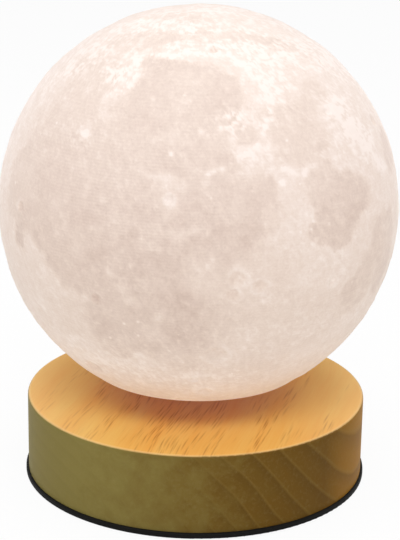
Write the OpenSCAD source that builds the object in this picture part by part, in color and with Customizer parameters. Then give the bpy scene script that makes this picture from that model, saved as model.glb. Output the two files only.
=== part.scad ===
// Levitating moon lamp: a printed moon globe that floats over a turned wooden base.
// Millimetres. Origin: centre of the underside of the feet. +Z up, the front faces -Y.

/* [Globe] */
// Diameter of the moon globe
globe_d = 150; // [140:1:180]
// Wall of the printed shell
shell_wall = 2.4; // [1.8:0.1:3]
// Gap between the floating globe and the wood
float_gap = 11; // [8:0.5:16]
// Depth of the craters
crater_depth = 0.8; // [0.4:0.1:1.2]
// Diameter of the moon's map that the crater sizes are scaled from, in kilometres
moon_km = 3475; // [3200:25:3800]
// Tip of the north pole away from the front
moon_tip = 6.4; // [0:0.1:20]
// Lean of the north pole to the right
moon_lean = 1.7; // [0:0.1:5]
// Turn of the map about the pole
moon_turn = 13; // [0:0.5:30]
// Height of the seat ring inside the shell
seat_h = 4; // [3:0.5:6]
// Width of the shell's rim round the cap
rim_w = 2.5; // [2:0.1:3]
// Width of the seat ring under the cap's edge
seat_w = 4.2; // [4:0.1:5]

/* [Globe cap and light] */
// Thickness of the cap
cap_t = 2; // [1.8:0.1:3]
// Thickness of the cap under the magnet
cap_floor = 1.2; // [0.8:0.1:1.6]
// Diameter of the floating magnet
magnet_d = 50; // [44:1:52]
// Thickness of the floating magnet
magnet_t = 12; // [8:0.5:15]
// Wall of the magnet's cup
cup_wall = 2; // [1.5:0.1:2.4]
// Thickness of the magnet's lid
lid_t = 1.5; // [1.2:0.1:2.5]
// Radial width of the receiving coil
rx_coil_w = 5.6; // [4:0.1:7]
// Thickness of the receiving coil
rx_coil_t = 1.2; // [0.8:0.1:2]
// Thickness of the receiving coil's ferrite
rx_ferrite_t = 0.6; // [0.4:0.1:1]
// Height of the lower spacers
lower_spacer_h = 4; // [3:0.5:8]
// Height of the upper spacers
upper_spacer_h = 7; // [6.5:0.5:12]
// Thickness of the receiver board
rx_board_t = 1.6; // [1:0.2:2]
// Thickness of the light board
led_board_t = 1.5; // [1:0.1:2]
// Number of light emitters in the ring
led_count = 9; // [6:1:12]
// Height of the diffuser dome
diffuser_h = 11; // [8:0.5:14]
// Wall of the diffuser dome
diffuser_wall = 1.2; // [0.8:0.1:2]

/* [Wooden base] */
// Diameter of the wooden base
base_d = 130; // [126:1:150]
// Height of the wood
wood_h = 30; // [28:0.5:36]
// Side wall of the wood
wood_wall = 5.5; // [4.5:0.5:7]
// Thickness of the wood over the coils
wood_top = 4.5; // [3.5:0.5:5.5]
// Radius of the softened top edge
edge_r = 1; // [0.5:0.1:2]

/* [Bottom cover] */
// Thickness of the cover
cover_t = 2.1; // [1.8:0.1:3]
// Reach of the cover beyond the wood
cover_lip = 1; // [0.5:0.1:2]
// Height of the locating ring
spigot_h = 2.5; // [1.5:0.1:2.8]
// Wall of the locating ring
spigot_wall = 2; // [1.5:0.1:2.5]
// Diameter of a rubber foot
foot_d = 12; // [8:0.5:16]
// Thickness of a rubber foot
foot_t = 1.5; // [1.2:0.1:1.8]
// Number of vents in the cover
vent_count = 16; // [8:8:16]
// Length of a vent
vent_l = 16; // [10:1:18]
// Height of a foot below the cover
foot_stand = 0.4; // [0.3:0.1:1]

/* [Levitation unit] */
// Height of the electromagnets
coil_h = 15.5; // [13:0.5:17]
// Diameter of an electromagnet's bobbin
bobbin_d = 24; // [20:0.5:26]
// Diameter of an electromagnet's core
core_d = 8; // [6:0.5:9]
// Thickness of the bobbin's flanges
flange_t = 1; // [0.8:0.1:1.5]
// Wall of the bobbin's hub
hub_wall = 1; // [0.8:0.1:1.5]
// Radial width of the ring magnet
ring_magnet_w = 11; // [9:0.5:12]
// Thickness of the ring magnet
ring_magnet_t = 10; // [6:0.5:11]
// Thickness of the coil frame
frame_t = 2; // [1.6:0.1:2.4]
// Height of the frame's middle pad
pad_t = 1.5; // [1.2:0.1:2]
// Radial width of the sending coil
tx_coil_w = 10; // [6:0.5:12]
// Thickness of the sending coil's ferrite
tx_ferrite_t = 0.5; // [0.3:0.1:0.8]
// Thickness of the control board
board_t = 1.6; // [1:0.2:2]
// Diameter of a frame post and of a cover boss
post_d = 8; // [7:0.5:9]

/* [Inlet and button] */
// Height of the inlet's and the button's axis over the board
port_h = 6.5; // [6:0.1:7]
// Bore of the power inlet
inlet_bore_d = 6.3; // [5.6:0.1:6.6]
// Diameter of the inlet's pin
inlet_pin_d = 2; // [1.6:0.1:2.5]
// Diameter of the push button
button_d = 8; // [6:0.5:9]
// Travel of the push button
button_travel = 0.8; // [0.4:0.1:1]
// Angle from the inlet to the button
button_angle = 24; // [20:1:30]

/* [Screws] */
// Diameter of the cover and frame screws
screw_d = 3; // [2.5:0.1:3.2]
// Diameter of the cap and board screws
small_screw_d = 2.2; // [1.8:0.1:2.5]

/* [Hidden] */
$fn = 96;

// Clearances
eps = 0.01;
run_gap = 0.1; // running fit of the button
free_gap = 0.3; // between pieces that move against each other
seat_gap = 0.15; // between pieces that drop into each other
screw_gap = 0.1; // round a screw

// Base, from the floor up
base_r = base_d / 2;
inner_r = base_r - wood_wall;
cover_z = foot_stand;
wood_z = cover_z + cover_t;
wood_top_z = wood_z + wood_h;
ceiling_z = wood_top_z - wood_top;
frame_top_z = ceiling_z - pad_t;
frame_z = frame_top_z - frame_t;
board_top_z = frame_z - coil_h;
board_z = board_top_z - board_t;

// Cover
edge_in = 0.5; // rounding of the cover's edge
vent_w = 2;
vent_circle = 30;
rib_w = 1.2;
rib_h = 1;

// Base, from the wall inwards
board_gap = 2; // from the wall to the control board
board_r = inner_r - board_gap;
frame_gap = 0.5; // from the wall to the frame and to the inlet
frame_r = inner_r - frame_gap;
post_edge = 2; // from the wall to a post
post_circle = inner_r - post_edge - post_d / 2;
magnet_gap = 1; // from a post to the ring magnet
ring_magnet_r = post_circle - post_d / 2 - magnet_gap;
ring_magnet_in = ring_magnet_r - ring_magnet_w;
bobbin_gap = 1.5; // from the ring magnet to a bobbin
coil_circle = ring_magnet_in - bobbin_gap - bobbin_d / 2;
frame_screw_edge = 3.5; // from the ring magnet to a frame screw
frame_screw_circle = ring_magnet_in - frame_screw_edge;
tx_edge = 3; // from the frame's edge to the sending coil
tx_coil_r = frame_r - tx_edge;
tx_overlap = 1; // of the ferrite over the coil's edges
pad_edge = 4; // from the circle of frame screws to the pad's edge
notch_r = 3; // of the lead notch in the frame's edge
foot_edge = 14; // from the cover's edge to a foot's centre
foot_circle = base_r + cover_lip - foot_edge;

// Sensors under the middle of the frame
hall_board_w = 9;
hall_board_t = 1;
hall_l = 4;
hall_w = 1.5;
hall_h = 3;
hall_step = 3;

// Parts on the boards
can_d = 6.3;
can_foot = 6.6;
can_foot_h = 0.8;
can_h = 7.4;
can_top_d = 5.7;
can_top_h = 0.4;
chip_l = 5;
chip_w = 4;
chip_h = 1.6;
chip_edge = 3; // from the ring magnet to a driver chip
choke_d = 9;
choke_core_d = 6;
choke_h = 4.2;
choke_flange_h = 1;
choke_edge = 8; // from the ring magnet's outside to the choke
rx_part_circle = 11;
rx_can_h = 5.4;
rx_choke_h = 3;

// Screws
head_ratio = 0.95; // head radius over shank diameter
head_h = 1.1;
head_sink = 0.1; // of a cover screw's head in the cover
pilot_depth = 8; // of a cover screw in its post
wood_bite = 2.8; // of a frame screw in the wood
tip_room = 0.4; // past the tip of a screw
screw_r = screw_d / 2;
small_screw_r = small_screw_d / 2;

// Inlet
port_z = board_top_z + port_h;
inlet_w = 9;
inlet_l = 9.5;
inlet_h = 11;
inlet_collar_wall = 1.2;
inlet_collar_r = inlet_bore_d / 2 + inlet_collar_wall;
inlet_back = 2; // wall behind the inlet's bore
inlet_inset = 0.8; // of the collar behind the wood's face
inlet_y = inner_r - frame_gap - inlet_l;

// Button, along its own axis from the lamp's axis outwards
bezel_wall = 1.4;
bezel_flange = 1;
bezel_flange_t = 1;
bezel_proud = 0.2;
bezel_depth = 3; // of the bezel in the wood
button_r = button_d / 2;
bezel_r = button_r + run_gap + bezel_wall;
bezel_x = base_r - bezel_depth;
bezel_flange_x = base_r + bezel_proud - bezel_flange_t;
button_proud = 0.8;
button_flange = 1;
button_flange_t = 1.2;
button_flange_x = bezel_x - free_gap - button_flange_t;
button_tail = 4.5;
button_back_x = button_flange_x - button_tail;
plunger_out = 2;
switch_front_x = button_back_x - plunger_out;
switch_l = 4;
switch_w = 6.2;
switch_h = port_h + switch_w / 2;
plunger_r = 1.7;
plunger_in = 1; // of the plunger in its switch

// Globe, from its flat underside up
globe_r = globe_d / 2;
flat_z = wood_top_z + float_gap;
cup_r = magnet_d / 2 + free_gap + cup_wall;
rx_coil_gap = 0.4; // inside and outside the receiving coil
rx_coil_in = cup_r + rx_coil_gap;
rx_coil_r = rx_coil_in + rx_coil_w;
seat_r = rx_coil_r + rx_coil_gap;
cap_r = seat_r + seat_w;
flat_r = cap_r + rim_w;
globe_z = flat_z + sqrt(pow(globe_r, 2) - pow(flat_r, 2));
magnet_z = flat_z + cap_floor + free_gap;
lid_z = magnet_z + magnet_t + free_gap;
lower_z = lid_z + lid_t;
rx_board_z = lower_z + lower_spacer_h;
upper_z = rx_board_z + rx_board_t;
led_board_z = upper_z + upper_spacer_h;
light_z = led_board_z + led_board_t;
cap_screw_circle = (cap_r + seat_r) / 2;
cap_screw_bite = 3;
spacer_r = 2.4;
spacer_edge = 4; // from the board's edge to a spacer
rx_board_edge = 3.5; // from the lid's edge to the boards' edge
rx_board_r = cup_r - rx_board_edge;
spacer_circle = rx_board_r - spacer_edge;
diffuser_r = spacer_circle - small_screw_d * head_ratio - free_gap;
led_edge = 5; // from the diffuser's rim to an emitter
led_circle = diffuser_r - led_edge;
led_w = 3.5;
led_t = 0.8;

full_depth_r = 2.5; // radius from which a crater has its full depth

// Large craters: latitude north, longitude east and diameter in kilometres
lat_stretch = 1.07; // of the globe's map
lon_stretch = 1.04;
CRATERS = [
    [51.6, -9.4, 101], [9.6, -20.1, 93], [23.7, -47.4, 45], [8.1, -38, 38], [-43.3, -11.4, 85],
    [-58.8, -14.1, 231], [-9.3, -1.9, 154], [-13.4, -2.8, 119], [-20.7, -22.2, 61],
    [-17.6, -40.1, 110], [-44.3, -55.3, 206], [29.7, -4, 83], [14.5, -11.3, 58], [14.5, 9.1, 39],
    [50.2, 17.4, 87], [31.8, 29.9, 95], [-11.4, 26.4, 110], [-8.9, 61.1, 132],
    [-25.1, 60.4, 177], [27.7, 55.5, 126], [-11.2, 4.1, 129], [-32.4, -5.2, 200],
    [-50.5, -6.3, 163], [46.7, 44.4, 87], [2.2, -67.6, 106], [63.5, -63, 130], [-20.4, 129, 185],
    [5.7, 140.9, 260], [-20.2, 149.2, 240], [-4, -157.4, 280], [2.6, -129.2, 280],
    [-36, -151.8, 280], [58.7, -146, 250], [-72, 30, 120], [45, 151, 200], [-45, 110, 160]];

// n copies round the lamp's axis, the first at the angle start, each moved out by r
module ring_of(n, r, start = 0) {
    for (i = [0 : n - 1]) rotate([0, 0, start + i * 360 / n]) translate([r, 0, 0]) children();
}

// A tube standing on z
module tube(r_out, r_in, z, h) {
    translate([0, 0, z]) difference() {
        cylinder(r = r_out, h = h);
        translate([0, 0, -1]) cylinder(r = r_in, h = h + 2);
    }
}

// A pan-head screw whose head's seat is at z, pointing up (dir = 1) or down (dir = -1)
module screw(r, z, length, dir = 1) {
    translate([0, 0, z]) mirror([0, 0, dir > 0 ? 0 : 1]) union() {
        translate([0, 0, -head_h]) cylinder(r = 2 * r * head_ratio, h = head_h);
        translate([0, 0, -eps]) cylinder(r = r, h = length + eps);
    }
}

// Places what follows on the button's axis, +X outwards
module at_button() {
    rotate([0, 0, 90 + button_angle]) translate([0, 0, port_z]) rotate([0, 90, 0]) children();
}

// Turned wooden body, hollow from below, drilled for the inlet and the button
module wood_body() {
    color("peru") difference() {
        translate([0, 0, wood_z]) rotate_extrude() union() {
            square([base_r - edge_r, wood_h]);
            square([base_r, wood_h - edge_r]);
            translate([base_r - edge_r, wood_h - edge_r]) circle(r = edge_r);
        }
        translate([0, 0, wood_z - 1]) cylinder(r = inner_r, h = ceiling_z - wood_z + 1);
        translate([0, inner_r - wood_wall, port_z]) rotate([-90, 0, 0])
            cylinder(r = inlet_collar_r + seat_gap, h = 3 * wood_wall);
        at_button() translate([0, 0, inner_r - wood_wall])
            cylinder(r = bezel_r + seat_gap, h = 3 * wood_wall);
        at_button() translate([0, 0, bezel_flange_x])
            cylinder(r = bezel_r + bezel_flange + seat_gap, h = wood_wall);
        ring_of(4, frame_screw_circle, 45) translate([0, 0, ceiling_z - 1])
            cylinder(r = screw_r + screw_gap / 2, h = wood_bite + tip_room + 1);
    }
}

// Black moulded cover with a locating ring, four bosses and pockets for the feet
module bottom_cover() {
    boss_h = board_z - wood_z;
    color("#1d1b19") difference() {
        union() {
            translate([0, 0, cover_z]) rotate_extrude() union() {
                square([base_r + cover_lip - edge_in, cover_t]);
                translate([0, edge_in]) square([base_r + cover_lip, cover_t - 2 * edge_in]);
                for (y = [edge_in, cover_t - edge_in])
                    translate([base_r + cover_lip - edge_in, y]) circle(r = edge_in);
            }
            tube(inner_r - seat_gap, inner_r - seat_gap - spigot_wall, wood_z - eps, spigot_h + eps);
            ring_of(4, post_circle, 45) translate([0, 0, wood_z - eps])
                cylinder(d = post_d, h = boss_h + eps);
            for (a = [0 : 45 : 135]) rotate([0, 0, a])
                translate([-inner_r + spigot_wall, -rib_w / 2, wood_z - eps])
                    cube([2 * (inner_r - spigot_wall), rib_w, rib_h + eps]);
        }
        ring_of(4, foot_circle) translate([0, 0, cover_z - 1])
            cylinder(d = foot_d + 2 * seat_gap, h = foot_t - foot_stand + 1);
        ring_of(4, post_circle, 45) {
            translate([0, 0, cover_z - 1])
                cylinder(r = screw_r + screw_gap, h = board_z - cover_z + 2);
            translate([0, 0, cover_z - 1])
                cylinder(r = screw_d * head_ratio + screw_gap, h = head_h + head_sink + 1);
        }
        ring_of(vent_count, vent_circle, 180 / vent_count)
            translate([-vent_l / 2, -vent_w / 2, cover_z - 1]) cube([vent_l, vent_w, cover_t + 2]);
    }
}

// Four round rubber feet in the cover's pockets
module rubber_feet() {
    color("#2b2b2b") ring_of(4, foot_circle) cylinder(d = foot_d, h = foot_t);
}

// Screws through the cover and the board into the frame's posts
module cover_screws() {
    seat_z = cover_z + head_h + head_sink;
    color("silver") ring_of(4, post_circle, 45)
        screw(screw_r, seat_z, board_top_z + pilot_depth - tip_room - seat_z);
}

// Moulded frame that carries the coils and the ring magnet
module coil_frame() {
    color("#3a3a3c") difference() {
        union() {
            translate([0, 0, frame_z]) cylinder(r = frame_r, h = frame_t);
            translate([0, 0, frame_top_z - eps])
                cylinder(r = frame_screw_circle + pad_edge, h = pad_t + eps);
            ring_of(4, post_circle, 45) translate([0, 0, board_top_z])
                cylinder(d = post_d, h = coil_h + eps);
        }
        ring_of(4, post_circle, 45) translate([0, 0, board_top_z - 1])
            cylinder(r = screw_r + screw_gap / 2, h = pilot_depth + 1);
        ring_of(4, frame_screw_circle, 45) translate([0, 0, frame_z - 1])
            cylinder(r = screw_r + screw_gap, h = frame_t + pad_t + 2);
        rotate([0, 0, 90 - button_angle]) translate([frame_r, 0, frame_z - 1])
            cylinder(r = notch_r, h = frame_t + 2);
    }
}

// Screws through the frame's pad into the wood
module frame_screws() {
    color("silver") ring_of(4, frame_screw_circle, 45)
        screw(screw_r, frame_z, frame_t + pad_t + wood_bite);
}

// Ferrite ring magnet under the frame
module ring_magnet() {
    color("#4c4a4a")
        tube(ring_magnet_r, ring_magnet_in, frame_z - ring_magnet_t, ring_magnet_t);
}

// Flanged bobbins of the electromagnets
module coil_bobbins() {
    hub_r = core_d / 2 + seat_gap + hub_wall;
    color("ivory") ring_of(4, coil_circle) difference() {
        translate([0, 0, board_top_z]) union() {
            cylinder(d = bobbin_d, h = flange_t);
            cylinder(r = hub_r, h = coil_h);
            translate([0, 0, coil_h - flange_t]) cylinder(d = bobbin_d, h = flange_t);
        }
        translate([0, 0, board_top_z - 1]) cylinder(d = core_d + 2 * seat_gap, h = coil_h + 2);
    }
}

// Copper windings between the flanges
module coil_windings() {
    hub_r = core_d / 2 + seat_gap + hub_wall;
    color("#b5651d") ring_of(4, coil_circle)
        tube(bobbin_d / 2 - 0.8, hub_r + seat_gap, board_top_z + flange_t, coil_h - 2 * flange_t);
}

// Soft-iron cores, standing on the board under the frame
module coil_cores() {
    color("#8a8d90") ring_of(4, coil_circle) translate([0, 0, board_top_z])
        cylinder(d = core_d, h = coil_h);
}

// Ferrite ring under the sending coil
module sending_ferrite() {
    color("#3b3836") tube(tx_coil_r + tx_overlap, tx_coil_r - tx_coil_w - tx_overlap,
        frame_top_z, tx_ferrite_t);
}

// Flat coil that feeds the globe
module sending_coil() {
    color("#c0702a") tube(tx_coil_r, tx_coil_r - tx_coil_w,
        frame_top_z + tx_ferrite_t, pad_t - tx_ferrite_t);
}

// Small board under the middle of the frame
module hall_board() {
    color("#1f5c3a") translate([-hall_board_w / 2, -hall_board_w / 2, frame_z - hall_board_t])
        cube([hall_board_w, hall_board_w, hall_board_t]);
}

// Three sensors, one for each axis, on the small board
module hall_sensors() {
    color("#202020") for (p = [[0, 0, 0], [hall_step, 0, 90], [0, hall_step, 0]])
        translate([p[0], p[1], frame_z - hall_board_t - hall_h]) rotate([0, 0, p[2]])
            translate([-hall_l / 2, -hall_w / 2, 0]) cube([hall_l, hall_w, hall_h]);
}

// Round control board, clamped between the cover's bosses and the posts
module control_board() {
    color("#20603c") difference() {
        translate([0, 0, board_z]) cylinder(r = board_r, h = board_t);
        ring_of(4, post_circle, 45) translate([0, 0, board_z - 1])
            cylinder(r = screw_r + screw_gap, h = board_t + 2);
    }
}

// Electrolytic capacitors round the electromagnets
module capacitors() {
    color("#26303f") ring_of(4, frame_screw_circle, 45) translate([0, 0, board_top_z]) union() {
        cylinder(d = can_d, h = can_h);
        cylinder(d = can_top_d, h = can_h + can_top_h);
        translate([-can_foot / 2, -can_foot / 2, 0]) cube([can_foot, can_foot, can_foot_h]);
    }
}

// Coil drivers beside the electromagnets
module driver_chips() {
    color("#191919") ring_of(4, ring_magnet_in - chip_edge, 30)
        translate([-chip_w / 2, -chip_l / 2, board_top_z]) cube([chip_w, chip_l, chip_h]);
}

// Wound choke near the inlet
module choke() {
    color("#555048") rotate([0, 0, 70]) translate([ring_magnet_r - choke_edge, 0, board_top_z]) union() {
        cylinder(d = choke_d, h = choke_flange_h);
        cylinder(d = choke_core_d, h = choke_h);
        translate([0, 0, choke_h - choke_flange_h]) cylinder(d = choke_d, h = choke_flange_h);
    }
}

// Power inlet on the board, its collar in the wood's back wall
module inlet_housing() {
    collar_l = base_r - inlet_inset - inlet_y - inlet_l;
    color("#161616") difference() {
        union() {
            translate([-inlet_w / 2, inlet_y, board_top_z]) cube([inlet_w, inlet_l, inlet_h]);
            translate([0, inlet_y + inlet_l - eps, port_z]) rotate([-90, 0, 0])
                cylinder(r = inlet_collar_r, h = collar_l + eps);
        }
        translate([0, inlet_y + inlet_back, port_z]) rotate([-90, 0, 0])
            cylinder(d = inlet_bore_d, h = inlet_l + collar_l);
    }
}

// Contact pin in the middle of the inlet
module inlet_pin() {
    pin_l = base_r - inlet_inset - inlet_y - inlet_back - 1;
    color("silver") translate([0, inlet_y + inlet_back, port_z]) rotate([-90, 0, 0]) union() {
        cylinder(d = inlet_pin_d, h = pin_l - inlet_pin_d / 2);
        translate([0, 0, pin_l - inlet_pin_d / 2]) sphere(d = inlet_pin_d);
    }
}

// Metal ring that guides the button in the wood
module button_bezel() {
    color("silver") at_button() difference() {
        translate([0, 0, bezel_x]) union() {
            cylinder(r = bezel_r, h = base_r + bezel_proud - bezel_x);
            translate([0, 0, bezel_flange_x - bezel_x])
                cylinder(r = bezel_r + bezel_flange, h = bezel_flange_t);
        }
        translate([0, 0, bezel_x - 1]) cylinder(r = button_r + run_gap, h = 2 * bezel_depth);
    }
}

// Push button with its stop flange behind the bezel
module button_cap() {
    color("gainsboro") at_button() union() {
        translate([0, 0, button_back_x])
            cylinder(r = button_r - button_flange, h = button_flange_x - button_back_x);
        translate([0, 0, button_flange_x]) cylinder(r = button_r + button_flange, h = button_flange_t);
        translate([0, 0, button_flange_x])
            cylinder(r = button_r, h = base_r + bezel_proud + button_proud - button_flange_x);
    }
}

// Plunger that the cap pushes into the switch
module button_plunger() {
    color("#303030") at_button() translate([0, 0, switch_front_x - plunger_in])
        cylinder(r = plunger_r, h = button_back_x - switch_front_x + plunger_in);
}

// Switch that stands on the board behind the button
module button_switch() {
    color("#1b1b1d") rotate([0, 0, 90 + button_angle]) difference() {
        translate([switch_front_x - switch_l, -switch_w / 2, board_top_z])
            cube([switch_l, switch_w, switch_h]);
        translate([switch_front_x - plunger_in - button_travel - free_gap, 0, port_z])
            rotate([0, 90, 0]) cylinder(r = plunger_r + run_gap, h = 2 * switch_l);
    }
}

// Disc magnet that the base holds afloat
module float_magnet() {
    color("#9a9c9e") translate([0, 0, magnet_z]) cylinder(d = magnet_d, h = magnet_t);
}

// One crater: a ball that cuts a bowl of radius a into the globe
module crater(lat, lon, km) {
    a = km / moon_km * globe_r;
    rim_drop = globe_r - sqrt(pow(globe_r, 2) - pow(a, 2));
    h = max(crater_depth * min(1, a / full_depth_r) - rim_drop, crater_depth / 5);
    ball_r = (pow(a, 2) + pow(h, 2)) / (2 * h);
    rotate([0, -lat * lat_stretch, lon * lon_stretch - 90])
        translate([globe_r - rim_drop - h + ball_r, 0, 0]) sphere(r = ball_r);
}

// Printed moon shell with its seat ring and craters
module moon_shell() {
    color("antiquewhite") difference() {
        union() {
            translate([0, 0, globe_z]) difference() {
                sphere(r = globe_r);
                sphere(r = globe_r - shell_wall);
            }
            intersection() {
                translate([0, 0, globe_z]) sphere(r = globe_r - shell_wall / 2);
                translate([0, 0, flat_z]) cylinder(r = globe_r, h = cap_t + seat_h);
            }
        }
        translate([0, 0, flat_z - globe_r]) cylinder(r = globe_r, h = globe_r);
        translate([0, 0, flat_z - 1]) cylinder(r = cap_r + seat_gap, h = cap_t + 1);
        translate([0, 0, flat_z - 1]) cylinder(r = seat_r, h = cap_t + seat_h + 2);
        ring_of(3, cap_screw_circle) translate([0, 0, flat_z])
            cylinder(r = small_screw_r + screw_gap / 2, h = cap_t + cap_screw_bite + tip_room);
        translate([0, 0, globe_z]) rotate([-moon_tip, 0, 0]) rotate([0, moon_lean, 0])
            rotate([0, 0, moon_turn]) for (c = CRATERS) crater(c[0], c[1], c[2]);
    }
}

// Flat cap with the magnet's cup
module shell_cap() {
    color("whitesmoke") difference() {
        union() {
            translate([0, 0, flat_z]) cylinder(r = cap_r, h = cap_t);
            translate([0, 0, flat_z]) cylinder(r = cup_r, h = lid_z - flat_z);
        }
        translate([0, 0, flat_z + cap_floor])
            cylinder(r = magnet_d / 2 + free_gap, h = lid_z - flat_z);
        ring_of(3, cap_screw_circle) {
            translate([0, 0, flat_z - 1]) cylinder(r = small_screw_r + screw_gap, h = cap_t + 2);
            translate([0, 0, flat_z - 1])
                cylinder(r = small_screw_d * head_ratio + screw_gap, h = head_h + 1);
        }
    }
}

// Screws through the cap into the shell's seat ring
module cap_screws() {
    color("silver") ring_of(3, cap_screw_circle)
        screw(small_screw_r, flat_z + head_h, cap_t - head_h + cap_screw_bite);
}

// Lid that closes the magnet's cup and carries the boards
module magnet_lid() {
    color("whitesmoke") difference() {
        translate([0, 0, lid_z]) cylinder(r = cup_r, h = lid_t);
        ring_of(3, spacer_circle, 60) translate([0, 0, lid_z - 1])
            cylinder(r = small_screw_r + screw_gap / 2, h = lid_t + 2);
    }
}

// Flat coil round the cup, on the cap
module receiving_coil() {
    color("#c0702a") tube(rx_coil_r, rx_coil_in, flat_z + cap_t, rx_coil_t);
}

// Ferrite ring over the receiving coil
module receiving_ferrite() {
    color("#3b3836") tube(rx_coil_r, rx_coil_in, flat_z + cap_t + rx_coil_t, rx_ferrite_t);
}

// Three spacers standing on z
module spacers(z, h) {
    color("ivory") ring_of(3, spacer_circle, 60) tube(spacer_r, small_screw_r + screw_gap, z, h);
}

// Spacers between the lid and the receiver board
module lower_spacers() {
    spacers(lower_z, lower_spacer_h);
}

// Spacers between the two boards
module upper_spacers() {
    spacers(upper_z, upper_spacer_h);
}

// A round board standing on z with its three screw holes
module round_board(z, t) {
    difference() {
        translate([0, 0, z]) cylinder(r = rx_board_r, h = t);
        ring_of(3, spacer_circle, 60) translate([0, 0, z - 1])
            cylinder(r = small_screw_r + screw_gap, h = t + 2);
    }
}

// Board that turns the received power into the lamp's supply
module receiver_board() {
    color("#20603c") round_board(rx_board_z, rx_board_t);
}

// Parts on the receiver board
module receiver_parts() {
    color("#30343a") translate([0, 0, upper_z]) union() {
        for (a = [130, 190]) rotate([0, 0, a]) translate([rx_part_circle, 0, 0])
            cylinder(d = can_d, h = rx_can_h);
        for (a = [10, 70]) rotate([0, 0, a])
            translate([rx_part_circle - choke_core_d / 2, -choke_core_d / 2, 0])
                cube([choke_core_d, choke_core_d, rx_choke_h]);
        rotate([0, 0, -60]) translate([-chip_l / 2, -chip_w / 2, 0]) cube([chip_l, chip_w, chip_h]);
    }
}

// Round light board
module light_board() {
    color("white") round_board(led_board_z, led_board_t);
}

// Ring of light emitters with one in the middle
module light_emitters() {
    color("#f4e3a0") {
        ring_of(led_count, led_circle) translate([-led_w / 2, -led_w / 2, light_z])
            cube([led_w, led_w, led_t]);
        translate([-led_w / 2, -led_w / 2, light_z]) cube([led_w, led_w, led_t]);
    }
}

// Opal dome over the light emitters
module diffuser() {
    dome_r = (pow(diffuser_r, 2) + pow(diffuser_h, 2)) / (2 * diffuser_h);
    color("white") translate([0, 0, light_z]) intersection() {
        translate([0, 0, diffuser_h - dome_r]) difference() {
            sphere(r = dome_r);
            sphere(r = dome_r - diffuser_wall);
        }
        cylinder(r = globe_r, h = diffuser_h + 1);
    }
}

// Screws down through both boards and their spacers into the lid
module board_screws() {
    color("silver") ring_of(3, spacer_circle, 60)
        screw(small_screw_r, light_z, light_z - lid_z, -1);
}

wood_body();
bottom_cover();
rubber_feet();
cover_screws();
coil_frame();
frame_screws();
ring_magnet();
coil_bobbins();
coil_windings();
coil_cores();
sending_ferrite();
sending_coil();
hall_board();
hall_sensors();
control_board();
capacitors();
driver_chips();
choke();
inlet_housing();
inlet_pin();
button_bezel();
button_cap();
button_plunger();
button_switch();
float_magnet();
moon_shell();
shell_cap();
cap_screws();
magnet_lid();
receiving_coil();
receiving_ferrite();
receiver_board();
receiver_parts();
lower_spacers();
upper_spacers();
light_board();
light_emitters();
diffuser();
board_screws();
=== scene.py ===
"""Looks of a levitating moon lamp: a printed moon globe that floats over a turned wooden base."""

import math

import bmesh
import bpy
import numpy as np
from mathutils import Matrix, Vector


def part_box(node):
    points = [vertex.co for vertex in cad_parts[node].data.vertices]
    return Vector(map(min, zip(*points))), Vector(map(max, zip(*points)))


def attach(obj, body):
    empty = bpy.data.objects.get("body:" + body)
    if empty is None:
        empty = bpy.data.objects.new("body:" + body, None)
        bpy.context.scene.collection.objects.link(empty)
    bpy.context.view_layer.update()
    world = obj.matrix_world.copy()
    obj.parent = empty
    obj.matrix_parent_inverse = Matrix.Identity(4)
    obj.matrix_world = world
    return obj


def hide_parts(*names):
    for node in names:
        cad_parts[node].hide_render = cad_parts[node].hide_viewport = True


bl_info = {
    "name": "Moon Lamp",
    "version": (1, 0, 0),
    "blender": (4, 5, 0),
    "location": "View3D > Sidebar > Moon Lamp",
    "description": "Dresses a levitating moon lamp with its globe, wood, metal, copper and boards",
    "category": "Object",
}

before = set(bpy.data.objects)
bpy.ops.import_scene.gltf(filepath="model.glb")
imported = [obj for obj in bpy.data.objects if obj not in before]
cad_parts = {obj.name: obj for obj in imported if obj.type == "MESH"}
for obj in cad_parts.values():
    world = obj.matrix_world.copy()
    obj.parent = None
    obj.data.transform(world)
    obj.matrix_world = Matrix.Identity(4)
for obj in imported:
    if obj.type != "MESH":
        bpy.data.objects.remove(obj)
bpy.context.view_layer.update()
WOOD_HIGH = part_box("wood_body")[1]

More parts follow.
